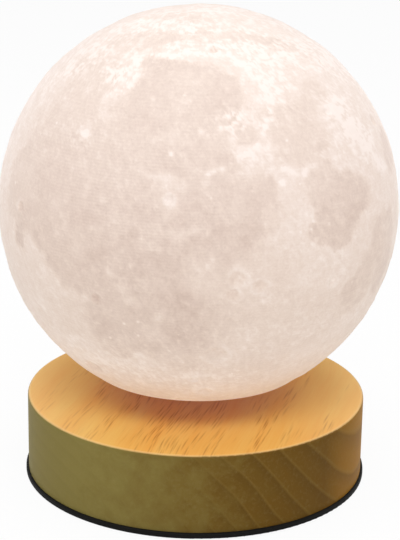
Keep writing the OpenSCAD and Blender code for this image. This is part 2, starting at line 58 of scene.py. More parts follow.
# ---------------------------------------------------------------- the moon's map
# Dark plains: latitude north, longitude east, half width, half height, turn (degrees), darkness
PLAINS = [
    # the large round plain of the north and the bay at its north-west corner
    (36, -17, 15, 11, 0, 0.66), (27, -22, 14, 9, 0, 0.68), (43.4, -32.8, 5, 4.4, 0, 0.8),
    (19, -14, 9, 5, 0, 0.7),
    # the round plain east of it, and the one below that
    (28, 17, 9.5, 9, 0, 0.45), (10, 29.5, 10, 8, 10, 0.9), (3, 25, 8, 5, 20, 0.85),
    (15, 22, 5, 4, 0, 0.6), (20, 60, 7, 5.5, 0, 0.7), (38, 28, 5, 4, 0, 0.4),
    # the eastern pair
    (-1, 49, 7, 7, 0, 0.6), (-10, 52, 5, 9, 0, 0.6), (-15.2, 35.5, 4.6, 4.4, 0, 0.8),
    (7, 68, 3, 2.4, 0, 0.6), (-2, 66, 3, 3, 0, 0.5), (1, 87, 4, 6, 0, 0.5), (13, 86, 4, 5, 0, 0.4),
    # the great western plain, from the north-west down to the south
    (52, -48, 9, 4, -10, 0.35), (40, -56, 9, 8, -25, 0.38), (26, -58, 13, 10, 0, 0.42),
    (12, -58, 15, 10, 0, 0.58), (14, -35, 10, 8, 0, 0.6), (2, -55, 13, 9, 0, 0.66),
    (1, -35, 10, 8, 0, 0.85), (-9, -46, 9, 7, 0, 0.78), (7, -20, 7, 5, 0, 0.8),
    (12, -8, 6, 5, 0, 0.66), (-4, -24, 9, 6, 0, 1.0), (22, -37, 9, 6, 0, 0.55),
    (8, -72, 6, 9, 0, 0.4),
    # the southern plains
    (-11, -24, 8, 6, 0, 1.0), (-20, -17, 8, 7, 0, 1.0), (-27, -14, 6, 5, 0, 0.95),
    (-23, -26, 6, 5, 0, 0.9), (-24.4, -38.6, 6.3, 6, 0, 1.0), (-15, -35, 6, 6, 0, 0.9),
    (-34, -38, 4, 3, 0, 0.6), (-31, -27, 7, 4, 0, 0.8), (-36, -18, 6, 4, 0, 0.6),
    # the middle of the near side
    (13, 3.6, 6, 4.4, 0, 0.8), (2.5, -1, 5.5, 4, 15, 1.1), (-1, -7, 8, 4, -5, 0.85),
    (7, 7, 4, 3, 30, 0.4), (26, 1, 3, 2.2, 30, 0.5), (7, -5, 8, 4, 0, 0.75),
    # dusky highland between and below them
    (-9, -8, 6, 6, 0, 0.55), (-33, 5, 12, 8, 0, 0.3), (-22, 22, 12, 9, 0, 0.18), (-25, -50, 8, 8, 0, 0.2),
    (-6, 8, 8, 6, 0, 0.2), (-45, 25, 20, 9, 0, 0.22), (-48, -35, 16, 8, 0, 0.2), (-12, 40, 5, 8, 0, 0.5),
    (-17, -4, 7, 8, 0, 0.5), (-20, 8, 8, 8, 0, 0.35),
    # the narrow plain along the north
    (56, -30, 12, 2.6, 4, 0.5), (58, -8, 10, 2.6, 0, 0.5), (58, 12, 10, 2.6, -4, 0.5),
    (54, 30, 9, 2.4, -12, 0.4), (56.8, 81, 3.6, 5, 0, 0.8), (66, -40, 14, 3, 0, 0.3),
    # dark crater floors
    (-5.5, -68.3, 2.4, 3.2, 10, 1.2), (51.6, -9.4, 1.7, 1.3, 0, 1.1), (-44, -55, 3, 2.6, 0, 0.5),
    # the far side
    (-19.4, -92.8, 5, 5, 0, 0.9), (-38.9, 93, 10, 7, 0, 0.5), (27.3, 147.9, 5, 4, 0, 0.9),
    (-33.7, 163.5, 6, 4, 0, 0.8), (-20.4, 129, 3, 3, 0, 1.1), (-45, -170, 18, 13, 0, 0.35),
]
# Bright areas: latitude, longitude, half width, half height, turn (degrees), strength
BRIGHT_AREAS = [
    (50, 45, 22, 7, -20, 0.5), (31, 36, 6, 7, -30, 0.6), (24, 42, 6, 6, 0, 0.7),
    (50, 9, 11, 7, -20, 0.42), (38, 11, 4.5, 6, 0, 0.5), (41, -44, 5.5, 6.5, 25, 0.7),
    (62, -10, 40, 4, 0, 0.2), (61, -40, 14, 3.5, 0, 0.7), (52, -20, 12, 2.5, 0, 0.4), (52, 0, 10, 3, 0, 0.38),
    (20, 0, 5, 3, 35, 0.12), (20, 27, 4, 4, 0, 0.3), (2, 18, 9, 5, -40, 0.1),
    (-45, -12, 16, 10, 0, 0.25),
    (10, 75, 6, 16, 0, 0.2), (75, 0, 60, 8, 0, 0.3), (24, -49, 5, 4, 0, 0.4),
    (10, -21, 5, 4.5, 0, 0.1), (30, -4, 5, 4, 0, 0.55), (-40, -45, 14, 8, 0, 0.2), (45, -64, 8, 8, 0, 0.3),
]
# Bright craters: latitude, longitude, radius of the bright floor (degrees), strength, rays, reach
BRIGHT_CRATERS = [
    (-43.3, -11.4, 1.6, 0.5, 14, 26), (9.6, -20.1, 2.2, 1.0, 12, 6), (8.1, -38, 1.1, 0.6, 9, 5),
    (23.7, -47.4, 1.3, 1.4, 8, 4), (16.1, 46.8, 0.8, 0.9, 6, 6), (-8.9, 61.1, 2.2, 0.6, 8, 6),
    (14.5, 9.1, 1.0, 1.0, 0, 0), (16.3, 16, 0.8, 1.0, 3, 3), (2.8, 17.3, 0.6, 1.0, 0, 0),
    (-0.4, 32.7, 0.5, 1.0, 0, 0), (73.4, -10.1, 1.4, 0.6, 8, 10), (-31.8, 51.6, 1.1, 0.7, 8, 8),
    (14.5, -11.3, 1.2, 0.5, 0, 0), (-0.3, -26.6, 0.7, 0.6, 0, 0), (3.3, -22.8, 0.8, 0.4, 0, 0),
    (-20.7, -22.2, 1.1, 0.6, 0, 0), (-11.4, 26.4, 1.5, 0.5, 0, 0), (-4.4, -8.6, 0.7, 0.7, 0, 0),
    (-7.4, -29.5, 0.7, 0.8, 4, 3), (26.5, -4, 0.5, 0.5, 0, 0), (-24.7, -64, 0.9, 0.7, 6, 8),
    (-10.5, -2, 0.9, 0.4, 0, 0), (20.7, -20.8, 0.8, 0.9, 0, 0), (38.7, -5, 0.6, 0.6, 0, 0),
    (-28, -16.9, 0.6, 0.7, 0, 0), (25.9, -11, 0.6, 0.7, 0, 0), (28.1, -7.4, 0.9, 0.8, 0, 0),
    (26.9, -13.1, 1.1, 0.7, 0, 0),
    (56, 46, 1.0, 0.7, 6, 8), (50.2, 17.4, 1.2, 0.5, 0, 0), (-15.4, 5.8, 0.8, 0.7, 0, 0),
    (-29.7, 3.2, 0.9, 0.5, 0, 0), (-58.8, -14.1, 3.0, 0.3, 0, 0), (4, 141, 2.4, 0.7, 10, 20),
    (-22, -150, 2.0, 0.8, 10, 24), (38, 102, 1.8, 0.9, 10, 20), (-35, 170, 1.6, 0.7, 8, 14),
]
# Bright ranges: width (degrees), strength, then their latitude and longitude points
RANGES = [
    (0.8, 1.0, [(16.1, -11), (17.4, -7.1), (19.2, -3.7), (21.2, -0.6), (22.5, 1), (25, 4.2), (28.4, 5.6)]),
    (1.5, 1.4, [(28.4, 5.6), (34.3, 8.6), (37.2, 9.1), (41, 7.9)]),
    (1.6, 1.4, [(41, 7.9), (44.5, 4.5), (47.5, 1.3), (50, -2.5)]),
    (0.8, 1.3, [(47.8, -27.4), (49.2, -25.4), (50.2, -21), (49.2, -16), (49.6, -10), (49.4, -4.8), (48, -1)]),
    (0.9, 1.6, [(39.8, -38), (43.6, -39.8), (47.2, -39), (48.8, -35), (48.5, -30), (47, -27.6)]),
    (0.8, 0.8, [(17.5, 9.5), (16.7, 13), (17.1, 16.1), (19, 20)]),
    (0.9, 0.5, [(15, -20), (14.5, -26), (17, -30)]),
    (1.6, 1.3, [(33, 31), (29, 35), (25, 38.5), (22, 42), (18, 47), (15.6, 51.6)]),
    (1.2, 0.5, [(7, 15), (3.8, 19.2), (-3, 24), (-8.5, 30.2)]),
    (1.3, 0.7, [(-17, -30), (-13, -33), (-9, -36)]),
    (0.5, 1.2, [(-44, -9), (-38, -13.5), (-32.1, -19.2), (-27.5, -23)]),
    (1.2, 0.8, [(54, -45), (49, -46), (45, -47)]),
]
# Large craters: latitude, longitude and diameter in kilometres
CRATERS = [
    (51.6, -9.4, 101), (9.6, -20.1, 93), (23.7, -47.4, 45), (8.1, -38, 38), (-43.3, -11.4, 85),
    (-58.8, -14.1, 231), (-9.3, -1.9, 154), (-13.4, -2.8, 119), (-20.7, -22.2, 61),
    (-17.6, -40.1, 110), (-44.3, -55.3, 206), (29.7, -4, 83), (14.5, -11.3, 58), (14.5, 9.1, 39),
    (50.2, 17.4, 87), (31.8, 29.9, 95), (-11.4, 26.4, 110), (-8.9, 61.1, 132),
    (-25.1, 60.4, 177), (27.7, 55.5, 126), (-11.2, 4.1, 129), (-32.4, -5.2, 200),
    (-50.5, -6.3, 163), (46.7, 44.4, 87), (2.2, -67.6, 106), (63.5, -63, 130), (-20.4, 129, 185),
    (5.7, 140.9, 260), (-20.2, 149.2, 240), (-4, -157.4, 280), (2.6, -129.2, 280),
    (-36, -151.8, 280), (58.7, -146, 250), (-72, 30, 120), (45, 151, 200), (-45, 110, 160),
]
# the Moon's diameter, how far the photograph stretches its map, and how it is turned
MOON_KM = 3475
LAT_STRETCH = 1.07
LON_STRETCH = 1.04
MOON_TIP = math.radians(-6.4)
MOON_LEAN = math.radians(1.7)
MOON_TURN = math.radians(13)
MAP_TO_GLOBE = np.array(
    Matrix.Rotation(MOON_TIP, 3, "X")
    @ Matrix.Rotation(MOON_LEAN, 3, "Y")
    @ Matrix.Rotation(MOON_TURN, 3, "Z")
)


# ---------------------------------------------------------------- sizes and colours
def number(name, description, default, **more):
    """A property that holds a number, with its unit or its subtype."""
    return bpy.props.FloatProperty(name=name, description=description, default=default, **more)


def hex_colour(name, description, default):
    """A property that holds an sRGB colour as '#RRGGBB'."""
    return bpy.props.StringProperty(
        name=name, description="sRGB colour of " + description, default=default
    )


class LampGlobe(bpy.types.PropertyGroup):
    """Sizes and colours of the printed globe."""

    radius: number("Radius", "Outer radius of the moon globe", 0.075, unit="LENGTH")
    wall: number("Wall", "Wall of the printed shell", 0.0024, unit="LENGTH")
    seat_height: number("Seat height", "Height of the ring that the cap seats on", 0.004, unit="LENGTH")
    cap_thickness: number("Cap thickness", "Depth of the recess that takes the cap", 0.002, unit="LENGTH")
    crater_depth: number("Crater depth", "Depth of the large craters", 0.0008, unit="LENGTH")
    highland: hex_colour("Highland", "the bright highlands", "#F1EAE3")
    plain: hex_colour("Plain", "the dark plains", "#D9CCC4")
    lamp_light: hex_colour("Lamp light", "the light from inside", "#FFDCC0")
    # the upper half's glow colour is paler partly as painted light from the lamps above
    upper_glow_and_painted_light: hex_colour("Upper light", "that light in the upper half", "#FFDECA")
    glow: number("Glow", "Strength of the light from inside", 0.45, min=0, max=2)


class LampWood(bpy.types.PropertyGroup):
    """Colours of the turned wooden base."""

    top_light: hex_colour("Top, light", "the top's early wood", "#FFD072")
    top_dark: hex_colour("Top, dark", "the top's late wood", "#FAB14E")
    # the side's colours are darker than the top's, partly for its grain and partly as painted shade
    side_early_shaded: hex_colour("Side, light", "the side's early wood", "#857840")
    side_late_shaded: hex_colour("Side, dark", "the side's late wood", "#6A4F1A")


class LampParts(bpy.types.PropertyGroup):
    """Sizes and colours of the screws, coils and electronic parts."""

    thread_pitch: number("Thread pitch", "Rise of the screws' thread in a turn", 0.0011, unit="LENGTH")
    magnet_wire: number("Magnet wire", "Wire of the four electromagnets", 0.0009, unit="LENGTH")
    sending_wire: number("Sending wire", "Wire of the coil in the base", 0.001, unit="LENGTH")
    receiving_wire: number("Receiving wire", "Wire of the coil in the globe", 0.0012, unit="LENGTH")
    steel: hex_colour("Steel", "the plated screws", "#B9BBBD")
    copper: hex_colour("Copper", "the enamelled wire", "#C46A34")


class LampStage(bpy.types.PropertyGroup):
    """The camera and the lights."""

    camera_distance: number("Camera distance", "From the middle of the wood's top", 0.6988, unit="LENGTH")
    camera_elevation: number("Camera elevation", "Above the wood's top", math.radians(21.77), subtype="ANGLE")
    camera_pitch: number("Camera pitch", "Below the horizon", math.radians(18.0), subtype="ANGLE")
    camera_yaw: number("Camera yaw", "Turn towards the right", math.radians(0.08), subtype="ANGLE")
    camera_roll: number("Camera roll", "About the line of sight", math.radians(0.94), subtype="ANGLE")
    camera_lens: number("Focal length", "On a 36 mm sensor", 119.5, subtype="DISTANCE_CAMERA")
    overhead_power: number("Overhead light", "Power of the large soft lamp overhead", 6.8, subtype="POWER")
    front_power: number("Front light", "Power of the soft lamp in front", 5.4, subtype="POWER")
    sky: number("Sky", "Strength of the light from all round", 0.45)


# ---------------------------------------------------------------- nodes
NOISE = "ShaderNodeTexNoise"
VORONOI = "ShaderNodeTexVoronoi"
RAMP = "ShaderNodeValToRGB"
SPLIT = "ShaderNodeSeparateXYZ"
JOIN_XYZ = "ShaderNodeCombineXYZ"
MAPPING = "ShaderNodeMapping"
CUBE = "GeometryNodeMeshCube"
CYLINDER = "GeometryNodeMeshCylinder"
MOVE = "GeometryNodeTransform"
JOIN = "GeometryNodeJoinGeometry"
COPIES = "GeometryNodeInstanceOnPoints"
REALIZE = "GeometryNodeRealizeInstances"
DRESS = "GeometryNodeSetMaterial"
TUBE = "GeometryNodeCurveToMesh"
CIRCLE = "GeometryNodeCurvePrimitiveCircle"
SPIRAL = "GeometryNodeCurveSpiral"
MIX = ("ShaderNodeMix", {"data_type": "RGBA"})
CUT = ("GeometryNodeMeshBoolean", {"operation": "DIFFERENCE", "solver": "EXACT"})
(
    ADD, SUBTRACT, MULTIPLY, MULTIPLY_ADD, DIVIDE, MAXIMUM, SINE, COSINE, SQRT, ABSOLUTE, FRACT, BELOW, ABOVE,
) = (
    ("ShaderNodeMath", {"operation": operation})
    for operation in ("ADD", "SUBTRACT", "MULTIPLY", "MULTIPLY_ADD", "DIVIDE", "MAXIMUM", "SINE", "COSINE",
                      "SQRT", "ABSOLUTE", "FRACT", "LESS_THAN", "GREATER_THAN")
)
TURN = 2 * math.pi
BLACK = (0, 0, 0, 1)
WHITE = (1, 1, 1, 1)


def tone(code):
    """A '#RRGGBB' sRGB colour as linear RGBA."""
    channels = [int(code[i : i + 2], 16) / 255 for i in (1, 3, 5)]
    linear = [c / 12.92 if c <= 0.04045 else ((c + 0.055) / 1.055) ** 2.4 for c in channels]
    return (*linear, 1.0)


def dimmed(colour, factor):
    """A linear colour times a factor."""
    return tuple(channel * factor for channel in colour[:3]) + (1,)


def add(tree, kind, inputs=(), out=0, stops=(), **settings):
    """Adds a node with its settings and links, and gives its output, or the node if out is None."""
    kind, preset = kind if isinstance(kind, tuple) else (kind, {})
    node = tree.nodes.new(kind)
    for key, value in {**preset, **settings}.items():
        setattr(node, key, value)
    for key, value in inputs.items() if isinstance(inputs, dict) else enumerate(inputs):
        for source in value if isinstance(value, list) else [value]:
            if isinstance(source, bpy.types.NodeSocket):
                tree.links.new(source, node.inputs[key])
            else:
                node.inputs[key].default_value = source
    for index, (position, colour) in enumerate(stops):
        elements = node.color_ramp.elements
        element = elements[index] if index < 2 else elements.new(position)
        element.position = position
        element.color = colour if isinstance(colour, tuple) else (colour, colour, colour, 1)
    return node if out is None else node.outputs[out]


def weighted(tree, parts, total):
    """Adds up parts times their weights, from a first total."""
    for part, weight in parts:
        total = add(tree, MULTIPLY_ADD, [part, weight, total])
    return total


def empty_tree(block):
    """The cleared node tree of a material or a world."""
    block.use_nodes = True
    block.node_tree.nodes.clear()
    return block.node_tree


def new_material(name):
    """A material with its tree and the object's own coordinates."""
    material = bpy.data.materials.new(name)
    tree = empty_tree(material)
    return material, tree, add(tree, "ShaderNodeTexCoord", out="Object")


def finish(material, inputs, height=None, distance=0.0, strength=0.5):
    """Ends a material with its Principled shader, bumped by a height where one is given."""
    tree = material.node_tree
    if height is not None:
        bump = {"Height": height, "Distance": distance, "Strength": strength}
        inputs["Normal"] = add(tree, "ShaderNodeBump", bump)
    shader = add(tree, "ShaderNodeBsdfPrincipled", inputs)
    add(tree, "ShaderNodeOutputMaterial", [shader], None)
    return material


def per_mm(size_mm):
    """Texture scale at which one cell of a pattern measures size_mm on an object in metres."""
    return 1000.0 / size_mm


# ---------------------------------------------------------------- materials
def printed_moon(globe):
    """Printed PLA lit from inside: a matt warm white, with map tones and faint layer lines."""
    material, tree, point = new_material("printed_moon")
    tones = add(tree, "ShaderNodeAttribute", out="Color", attribute_name="moon_map")
    # the relief channel is painted shade: lighter crater rims and darker crater floors
    plain, bright, relief = add(tree, "ShaderNodeSeparateColor", [tones], None).outputs
    # mottling of 9, 2.6 and 0.9 mm, as the dust and small craters of the map give
    cloud, patch, speck = (
        add(tree, NOISE, {"Vector": point, "Scale": per_mm(size), "Detail": detail,
                          "Roughness": 0.65, "Distortion": 0.6})
        for size, detail in ((9.0, 4.0), (2.6, 4.0), (0.9, 2.0))
    )
    # bright specks: small fresh craters 1 to 2 mm across
    cells = add(tree, VORONOI, {"Vector": point, "Scale": per_mm(5.0)}, None).outputs
    chance = add(tree, "ShaderNodeSeparateColor", [cells["Color"]])
    reach = add(tree, MULTIPLY_ADD, [chance, 0.34, -0.16])
    fresh = add(tree, SUBTRACT, [reach, cells["Distance"]], use_clamp=True)
    # layer lines, drawn 1.1 mm apart where real ones are 0.2 mm, so that they show
    layer_gap = 0.0011
    height = add(tree, SPLIT, [point], "Z")
    waver = add(tree, MULTIPLY_ADD, [cloud, 0.0003, height])
    layer = add(tree, SINE, [add(tree, MULTIPLY, [waver, TURN / layer_gap])])
    level = weighted(tree, (
        (plain, -0.29), (bright, 0.50), (cloud, 0.12), (patch, 0.34), (speck, 0.30), (relief, 0.32),
        (fresh, 2.5), (layer, 0.012),
    ), 0.03)
    colour = add(tree, RAMP, [level], stops=[
        (0.10, tone(globe.plain)), (0.50, tone(globe.highland)), (0.80, tone("#FFFEFC")),
    ])
    body = add(tree, MIX, {0: 1.0, 6: colour, 7: tone("#BDBEC0")}, 2, blend_type="MULTIPLY")
    # the glow grows from the lower half to the upper, and pales: partly the emitters shining upwards, partly
    # painted light that stands in for the lamps above
    upper = add(tree, "ShaderNodeMapRange", {"Value": height, "From Min": 0.085, "From Max": 0.130})
    light = add(tree, MIX, {0: upper, 6: tone(globe.lamp_light), 7: tone(globe.upper_glow_and_painted_light)}, 2)
    warm = add(tree, MIX, {0: 1.0, 6: colour, 7: light}, 2, blend_type="MULTIPLY")
    # painted light: extra glow on the underside stands in for the light that the wood sends back onto it
    under = add(tree, "ShaderNodeMapRange", {"Value": height, "From Min": 0.070, "From Max": 0.045})
    glow = weighted(tree, ((upper, 0.10 * globe.glow), (under, 0.08 * globe.glow)), 0.90 * globe.glow)
    return finish(material, {
        "Base Color": body, "Emission Color": warm, "Emission Strength": glow, "Roughness": 0.72,
        "Specular IOR Level": 0.25,
        # the soft dusty edge of a matt print
        "Sheen Weight": 0.36, "Sheen Roughness": 0.45,
    }, add(tree, MULTIPLY_ADD, [layer, 0.06, patch]), 0.00035)


def turned_wood(wood):
    """Oiled rubberwood: straight honey grain with short dark pores on top, olive brown at the side."""
    material, tree, point = new_material("turned_wood")
    # +Y of the turned coordinates runs along the grain, 14 degrees off the lamp's own
    turned = add(tree, MAPPING, {"Vector": point, "Rotation": (0, 0, math.radians(14))})
    sway = add(tree, NOISE, {"Vector": turned, "Scale": per_mm(45), "Detail": 1.0})
    sway = add(tree, JOIN_XYZ, [add(tree, MULTIPLY, [sway, 0.006])])
    turned = add(tree, "ShaderNodeVectorMath", [turned, sway], operation="ADD")
    # the same, drawn out along the grain by 7, 15 and 34 times
    long_7, long_15, long_34 = (
        add(tree, MAPPING, {"Vector": turned, "Scale": (1, 1 / times, 1)}) for times in (7, 15, 34)
    )
    x, _, z = add(tree, SPLIT, [turned], None).outputs
    # growth rings round a pith that lies to the left and below
    pith_left, pith_below = 0.066, 0.058
    across = add(tree, ADD, [x, pith_left])
    upward = add(tree, ADD, [z, pith_below])
    square = add(tree, MULTIPLY, [upward, upward])
    square = add(tree, MULTIPLY_ADD, [across, across, square])
    drift = add(tree, NOISE, {"Vector": long_7, "Scale": per_mm(30), "Detail": 1.0})
    radius = add(tree, MULTIPLY_ADD, [drift, 0.004, add(tree, SQRT, [square])])

    # top: fibres 0.6 mm wide under a broad figure, with faint rings 5 mm apart
    top_ring_gap = 0.005
    rings = add(tree, SINE, [add(tree, MULTIPLY, [radius, TURN / top_ring_gap])])
    fibre = add(tree, NOISE, {"Vector": long_34, "Scale": per_mm(0.6), "Detail": 3.0, "Roughness": 0.6})
    figure = add(tree, NOISE, {"Vector": long_7, "Scale": per_mm(12), "Detail": 3.0})
    grain = weighted(tree, ((rings, 0.02), (fibre, 0.30), (figure, 0.70)), 0.0)
    top = add(tree, RAMP, [grain], stops=[(0.26, tone(wood.top_dark)), (0.70, tone(wood.top_light))])
    # pores: dashes 0.5 mm wide and up to 8 mm long, crowded near the middle and in patches
    pore = add(tree, VORONOI, {"Vector": long_15, "Scale": per_mm(0.95)}, "Distance")
    dash = add(tree, RAMP, [pore], stops=[(0.05, 1), (0.52, 0)])
    patch = add(tree, NOISE, {"Vector": long_7, "Scale": per_mm(7), "Detail": 2.0})
    off_middle = add(tree, ABSOLUTE, [add(tree, SUBTRACT, [x, 0.008])])
    crowd = add(tree, MULTIPLY_ADD, [off_middle, -3.6, patch])
    crowd = add(tree, RAMP, [crowd], stops=[(0.31, 0), (0.44, 1)])
    dash = add(tree, MULTIPLY, [dash, crowd])
    top = add(tree, MIX, {0: add(tree, MULTIPLY, [dash, 0.62]), 6: top, 7: tone("#BC6418")}, 2)
    # painted highlight: the left and right ends of the top are paler, where the light catches their fibres
    own_x, own_y, own_z = add(tree, SPLIT, [point], None).outputs
    rightness = add(tree, MULTIPLY, [own_x, 1 / WOOD_HIGH[0]])
    pale = add(tree, RAMP, [add(tree, ABSOLUTE, [rightness])], stops=[(0.45, 0), (1.0, 0.35)])
    top = add(tree, MIX, {0: pale, 6: top, 7: tone("#FFE2AC")}, 2)

    # side: mottled olive to the left, brown with slanting rings 7 mm apart to the right
    mottle = add(tree, NOISE, {"Vector": point, "Scale": per_mm(9), "Detail": 6.0, "Roughness": 0.7,
                               "Distortion": 0.3})
    dusty = add(tree, NOISE, {"Vector": point, "Scale": per_mm(1.4), "Detail": 3.0, "Roughness": 0.7})
    rightward = weighted(tree, ((own_x, 1 / 0.13), (mottle, 0.5)), 0.16)
    golden = add(tree, RAMP, [rightness], stops=[(0.74, 0), (1.0, 0.9)])
    # each ring darkens slowly and ends in a thin pale line
    side_ring_gap = 0.00675
    phase = add(tree, FRACT, [add(tree, MULTIPLY_ADD, [radius, 1 / side_ring_gap, 0.22])])
    late = add(tree, RAMP, [phase], stops=[(0.0, 0), (0.4, 0.25), (0.82, 1), (0.92, 0)])
    line = add(tree, RAMP, [phase], stops=[(0.82, 0), (0.93, 0.55), (1.0, 0)])
    shown = add(tree, RAMP, [rightward], stops=[(0.40, 0.05), (0.60, 0.4)])
    late = add(tree, MULTIPLY, [late, shown])
    line = add(tree, MULTIPLY, [line, shown])
    dust = add(tree, RAMP, [dusty], stops=[(0.50, 0), (0.90, 0.2)])
    # painted shade: the side's colours are set darker than the top's, partly for the grain of the side and
    # partly for the shade it stands in
    side = add(tree, RAMP, [rightward], stops=[
        (0.10, tone(wood.side_early_shaded)), (0.56, tone(wood.side_late_shaded)), (0.84, tone("#6C4C13")),
    ])
    for share, code in ((golden, "#B07A18"), (late, "#4C3510"), (line, "#85703A"), (dust, "#94875A")):
        side = add(tree, MIX, {0: share, 6: side, 7: tone(code)}, 2)

    # the top's looks begin where the edge is rounded over
    edge_height = 0.0006
    is_top = add(tree, MULTIPLY_ADD, [own_z, 1 / edge_height, 0.9 - WOOD_HIGH[2] / edge_height],
                 use_clamp=True)
    colour = add(tree, MIX, {0: is_top, 6: side, 7: top}, 2)
    # painted highlight: the rim at the top's edge is a shade lighter
    square = add(tree, MULTIPLY, [own_x, own_x])
    square = add(tree, MULTIPLY_ADD, [own_y, own_y, square])
    outward = add(tree, MULTIPLY, [add(tree, SQRT, [square]), 1 / WOOD_HIGH[0]])
    edge = add(tree, RAMP, [outward], stops=[(0.982, 0), (0.990, 0.6)])
    edge = add(tree, MULTIPLY, [edge, is_top])
    colour = add(tree, MIX, {0: edge, 6: colour, 7: tone("#FFD9A0")}, 2)
    return finish(material, {"Base Color": colour, "Roughness": 0.55, "Specular IOR Level": 0.08},
                  add(tree, MULTIPLY_ADD, [dash, -0.1, fibre]), 0.0001, 0.4)


def moulded_plastic(name, code, roughness=0.45, texture_mm=0.5, shine=0.5, light=None, glow=0.0):
    """Moulded ABS or nylon: an even colour with the fine grain of its tool, and a painted glow where a light
    colour is given.
    """
    material, tree, point = new_material(name)
    base = tone(code)
    lighter = tuple(min(1, c * 1.18 + 0.004) for c in base[:3]) + (1,)
    broad = add(tree, NOISE, {"Vector": point, "Scale": per_mm(8.0), "Detail": 3.0})
    colour = add(tree, MIX, {0: broad, 6: base, 7: lighter}, 2)
    fine = add(tree, NOISE, {"Vector": point, "Scale": per_mm(texture_mm), "Detail": 2.0})
    rough = add(tree, MULTIPLY_ADD, [fine, 0.16, roughness - 0.08])
    inputs = {"Base Color": colour, "Roughness": rough, "Specular IOR Level": shine}
    # painted light: the part glows in the given colour
    if light:
        painted_glow_haze = add(tree, NOISE, {"Vector": point, "Scale": per_mm(12.0), "Detail": 2.0})
        inputs["Emission Color"] = add(tree, MIX, {0: painted_glow_haze, 6: dimmed(tone(light), 0.8), 7: tone(light)}, 2)
        inputs["Emission Strength"] = glow
    return finish(material, inputs, fine, 0.00003)


def plated_metal(name, code, roughness=0.28, drawn=(1, 1, 1)):
    """Plated or turned metal: faint marks along the way it was worked."""
    material, tree, point = new_material(name)
    lines = add(tree, MAPPING, {"Vector": point, "Scale": drawn})
    marks = add(tree, NOISE, {"Vector": lines, "Scale": per_mm(0.6), "Detail": 3.0})
    colour = add(tree, MIX, {0: marks, 6: dimmed(tone(code), 0.82), 7: tone(code)}, 2)
    rough = add(tree, MULTIPLY_ADD, [marks, 0.18, roughness - 0.06])
    return finish(material, {"Base Color": colour, "Metallic": 1.0, "Roughness": rough})


def enamelled_copper(parts):
    """Enamelled copper wire: warm metal under a clear amber coat that pools darker in places."""
    material, tree, point = new_material("enamelled_copper")
    pool = add(tree, NOISE, {"Vector": point, "Scale": per_mm(2.0), "Detail": 2.0})
    colour = add(tree, MIX, {0: pool, 6: tone("#8A431B"), 7: tone(parts.copper)}, 2)
    return finish(material, {"Base Color": colour, "Metallic": 0.85, "Roughness": 0.32, "Coat Weight": 0.5})


def sintered_ferrite():
    """Sintered ferrite: dark grey ceramic with pits of a few tenths of a millimetre."""
    material, tree, point = new_material("sintered_ferrite")
    pits = add(tree, NOISE, {"Vector": point, "Scale": per_mm(0.7), "Detail": 4.0, "Roughness": 0.7})
    colour = add(tree, RAMP, [pits], stops=[(0.3, tone("#2A2827")), (0.7, tone("#4B4846"))])
    return finish(material, {"Base Color": colour, "Roughness": 0.6}, pits, 0.00006, 0.6)


def circuit_board(name="circuit_board", mask="#14532F", track="#2C7A4A"):
    """Glass-fibre board under solder mask: right-angled tracks 1.2 mm apart show through."""
    material, tree, point = new_material(name)
    tracks = add(tree, "ShaderNodeTexBrick", {
        "Vector": point, "Scale": per_mm(5.0), "Mortar Size": 0.035, "Color1": BLACK,
        "Color2": BLACK, "Mortar": WHITE, "Brick Width": 0.9, "Row Height": 0.24,
    }, "Color")
    colour = add(tree, MIX, {0: tracks, 6: tone(mask), 7: tone(track)}, 2)
    return finish(material, {"Base Color": colour, "Roughness": 0.35}, tracks, 0.00003)


def milky(name, dark, light, cell_mm, glow, roughness):
    """Phosphor in silicone, or opal polycarbonate: milky, and glowing a little unevenly."""
    material, tree, point = new_material(name)
    cells = add(tree, NOISE, {"Vector": point, "Scale": per_mm(cell_mm), "Detail": 2.0})
    colour = add(tree, MIX, {0: cells, 6: tone(dark), 7: tone(light)}, 2)
    return finish(material, {"Base Color": colour, "Emission Color": colour,
                             "Emission Strength": glow, "Roughness": roughness})


def dress(material, *nodes):
    """Gives CAD nodes a material."""
    for name in nodes:
        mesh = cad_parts[name].data
        mesh.materials.clear()
        mesh.materials.append(material)


# ---------------------------------------------------------------- parts that repeat
def new_tree(name, sizes):
    """A geometry tree with a named input for each size, and the sockets that give them."""
    kinds = {int: "Int", float: "Float", tuple: "Vector", bpy.types.Material: "Material"}
    tree = bpy.data.node_groups.new(name, "GeometryNodeTree")
    tree.interface.new_socket("Geometry", in_out="OUTPUT", socket_type="NodeSocketGeometry")
    for label, value in sizes.items():
        tree.interface.new_socket(label, in_out="INPUT", socket_type="NodeSocket" + kinds[type(value)])
    return tree, add(tree, "NodeGroupInput", out=None).outputs


def ring_sizes(count, circle, first, level, material, upside_down=False, ring=None):
    """The sizes that every tree needs to set its part out round a circle."""
    return {
        "Count": count, "On the circle": ring or count, "Circle radius": circle,
        "First angle": math.radians(first), "Level": level,
        "Tilt": math.pi if upside_down else 0.0, "Material": material,
    }


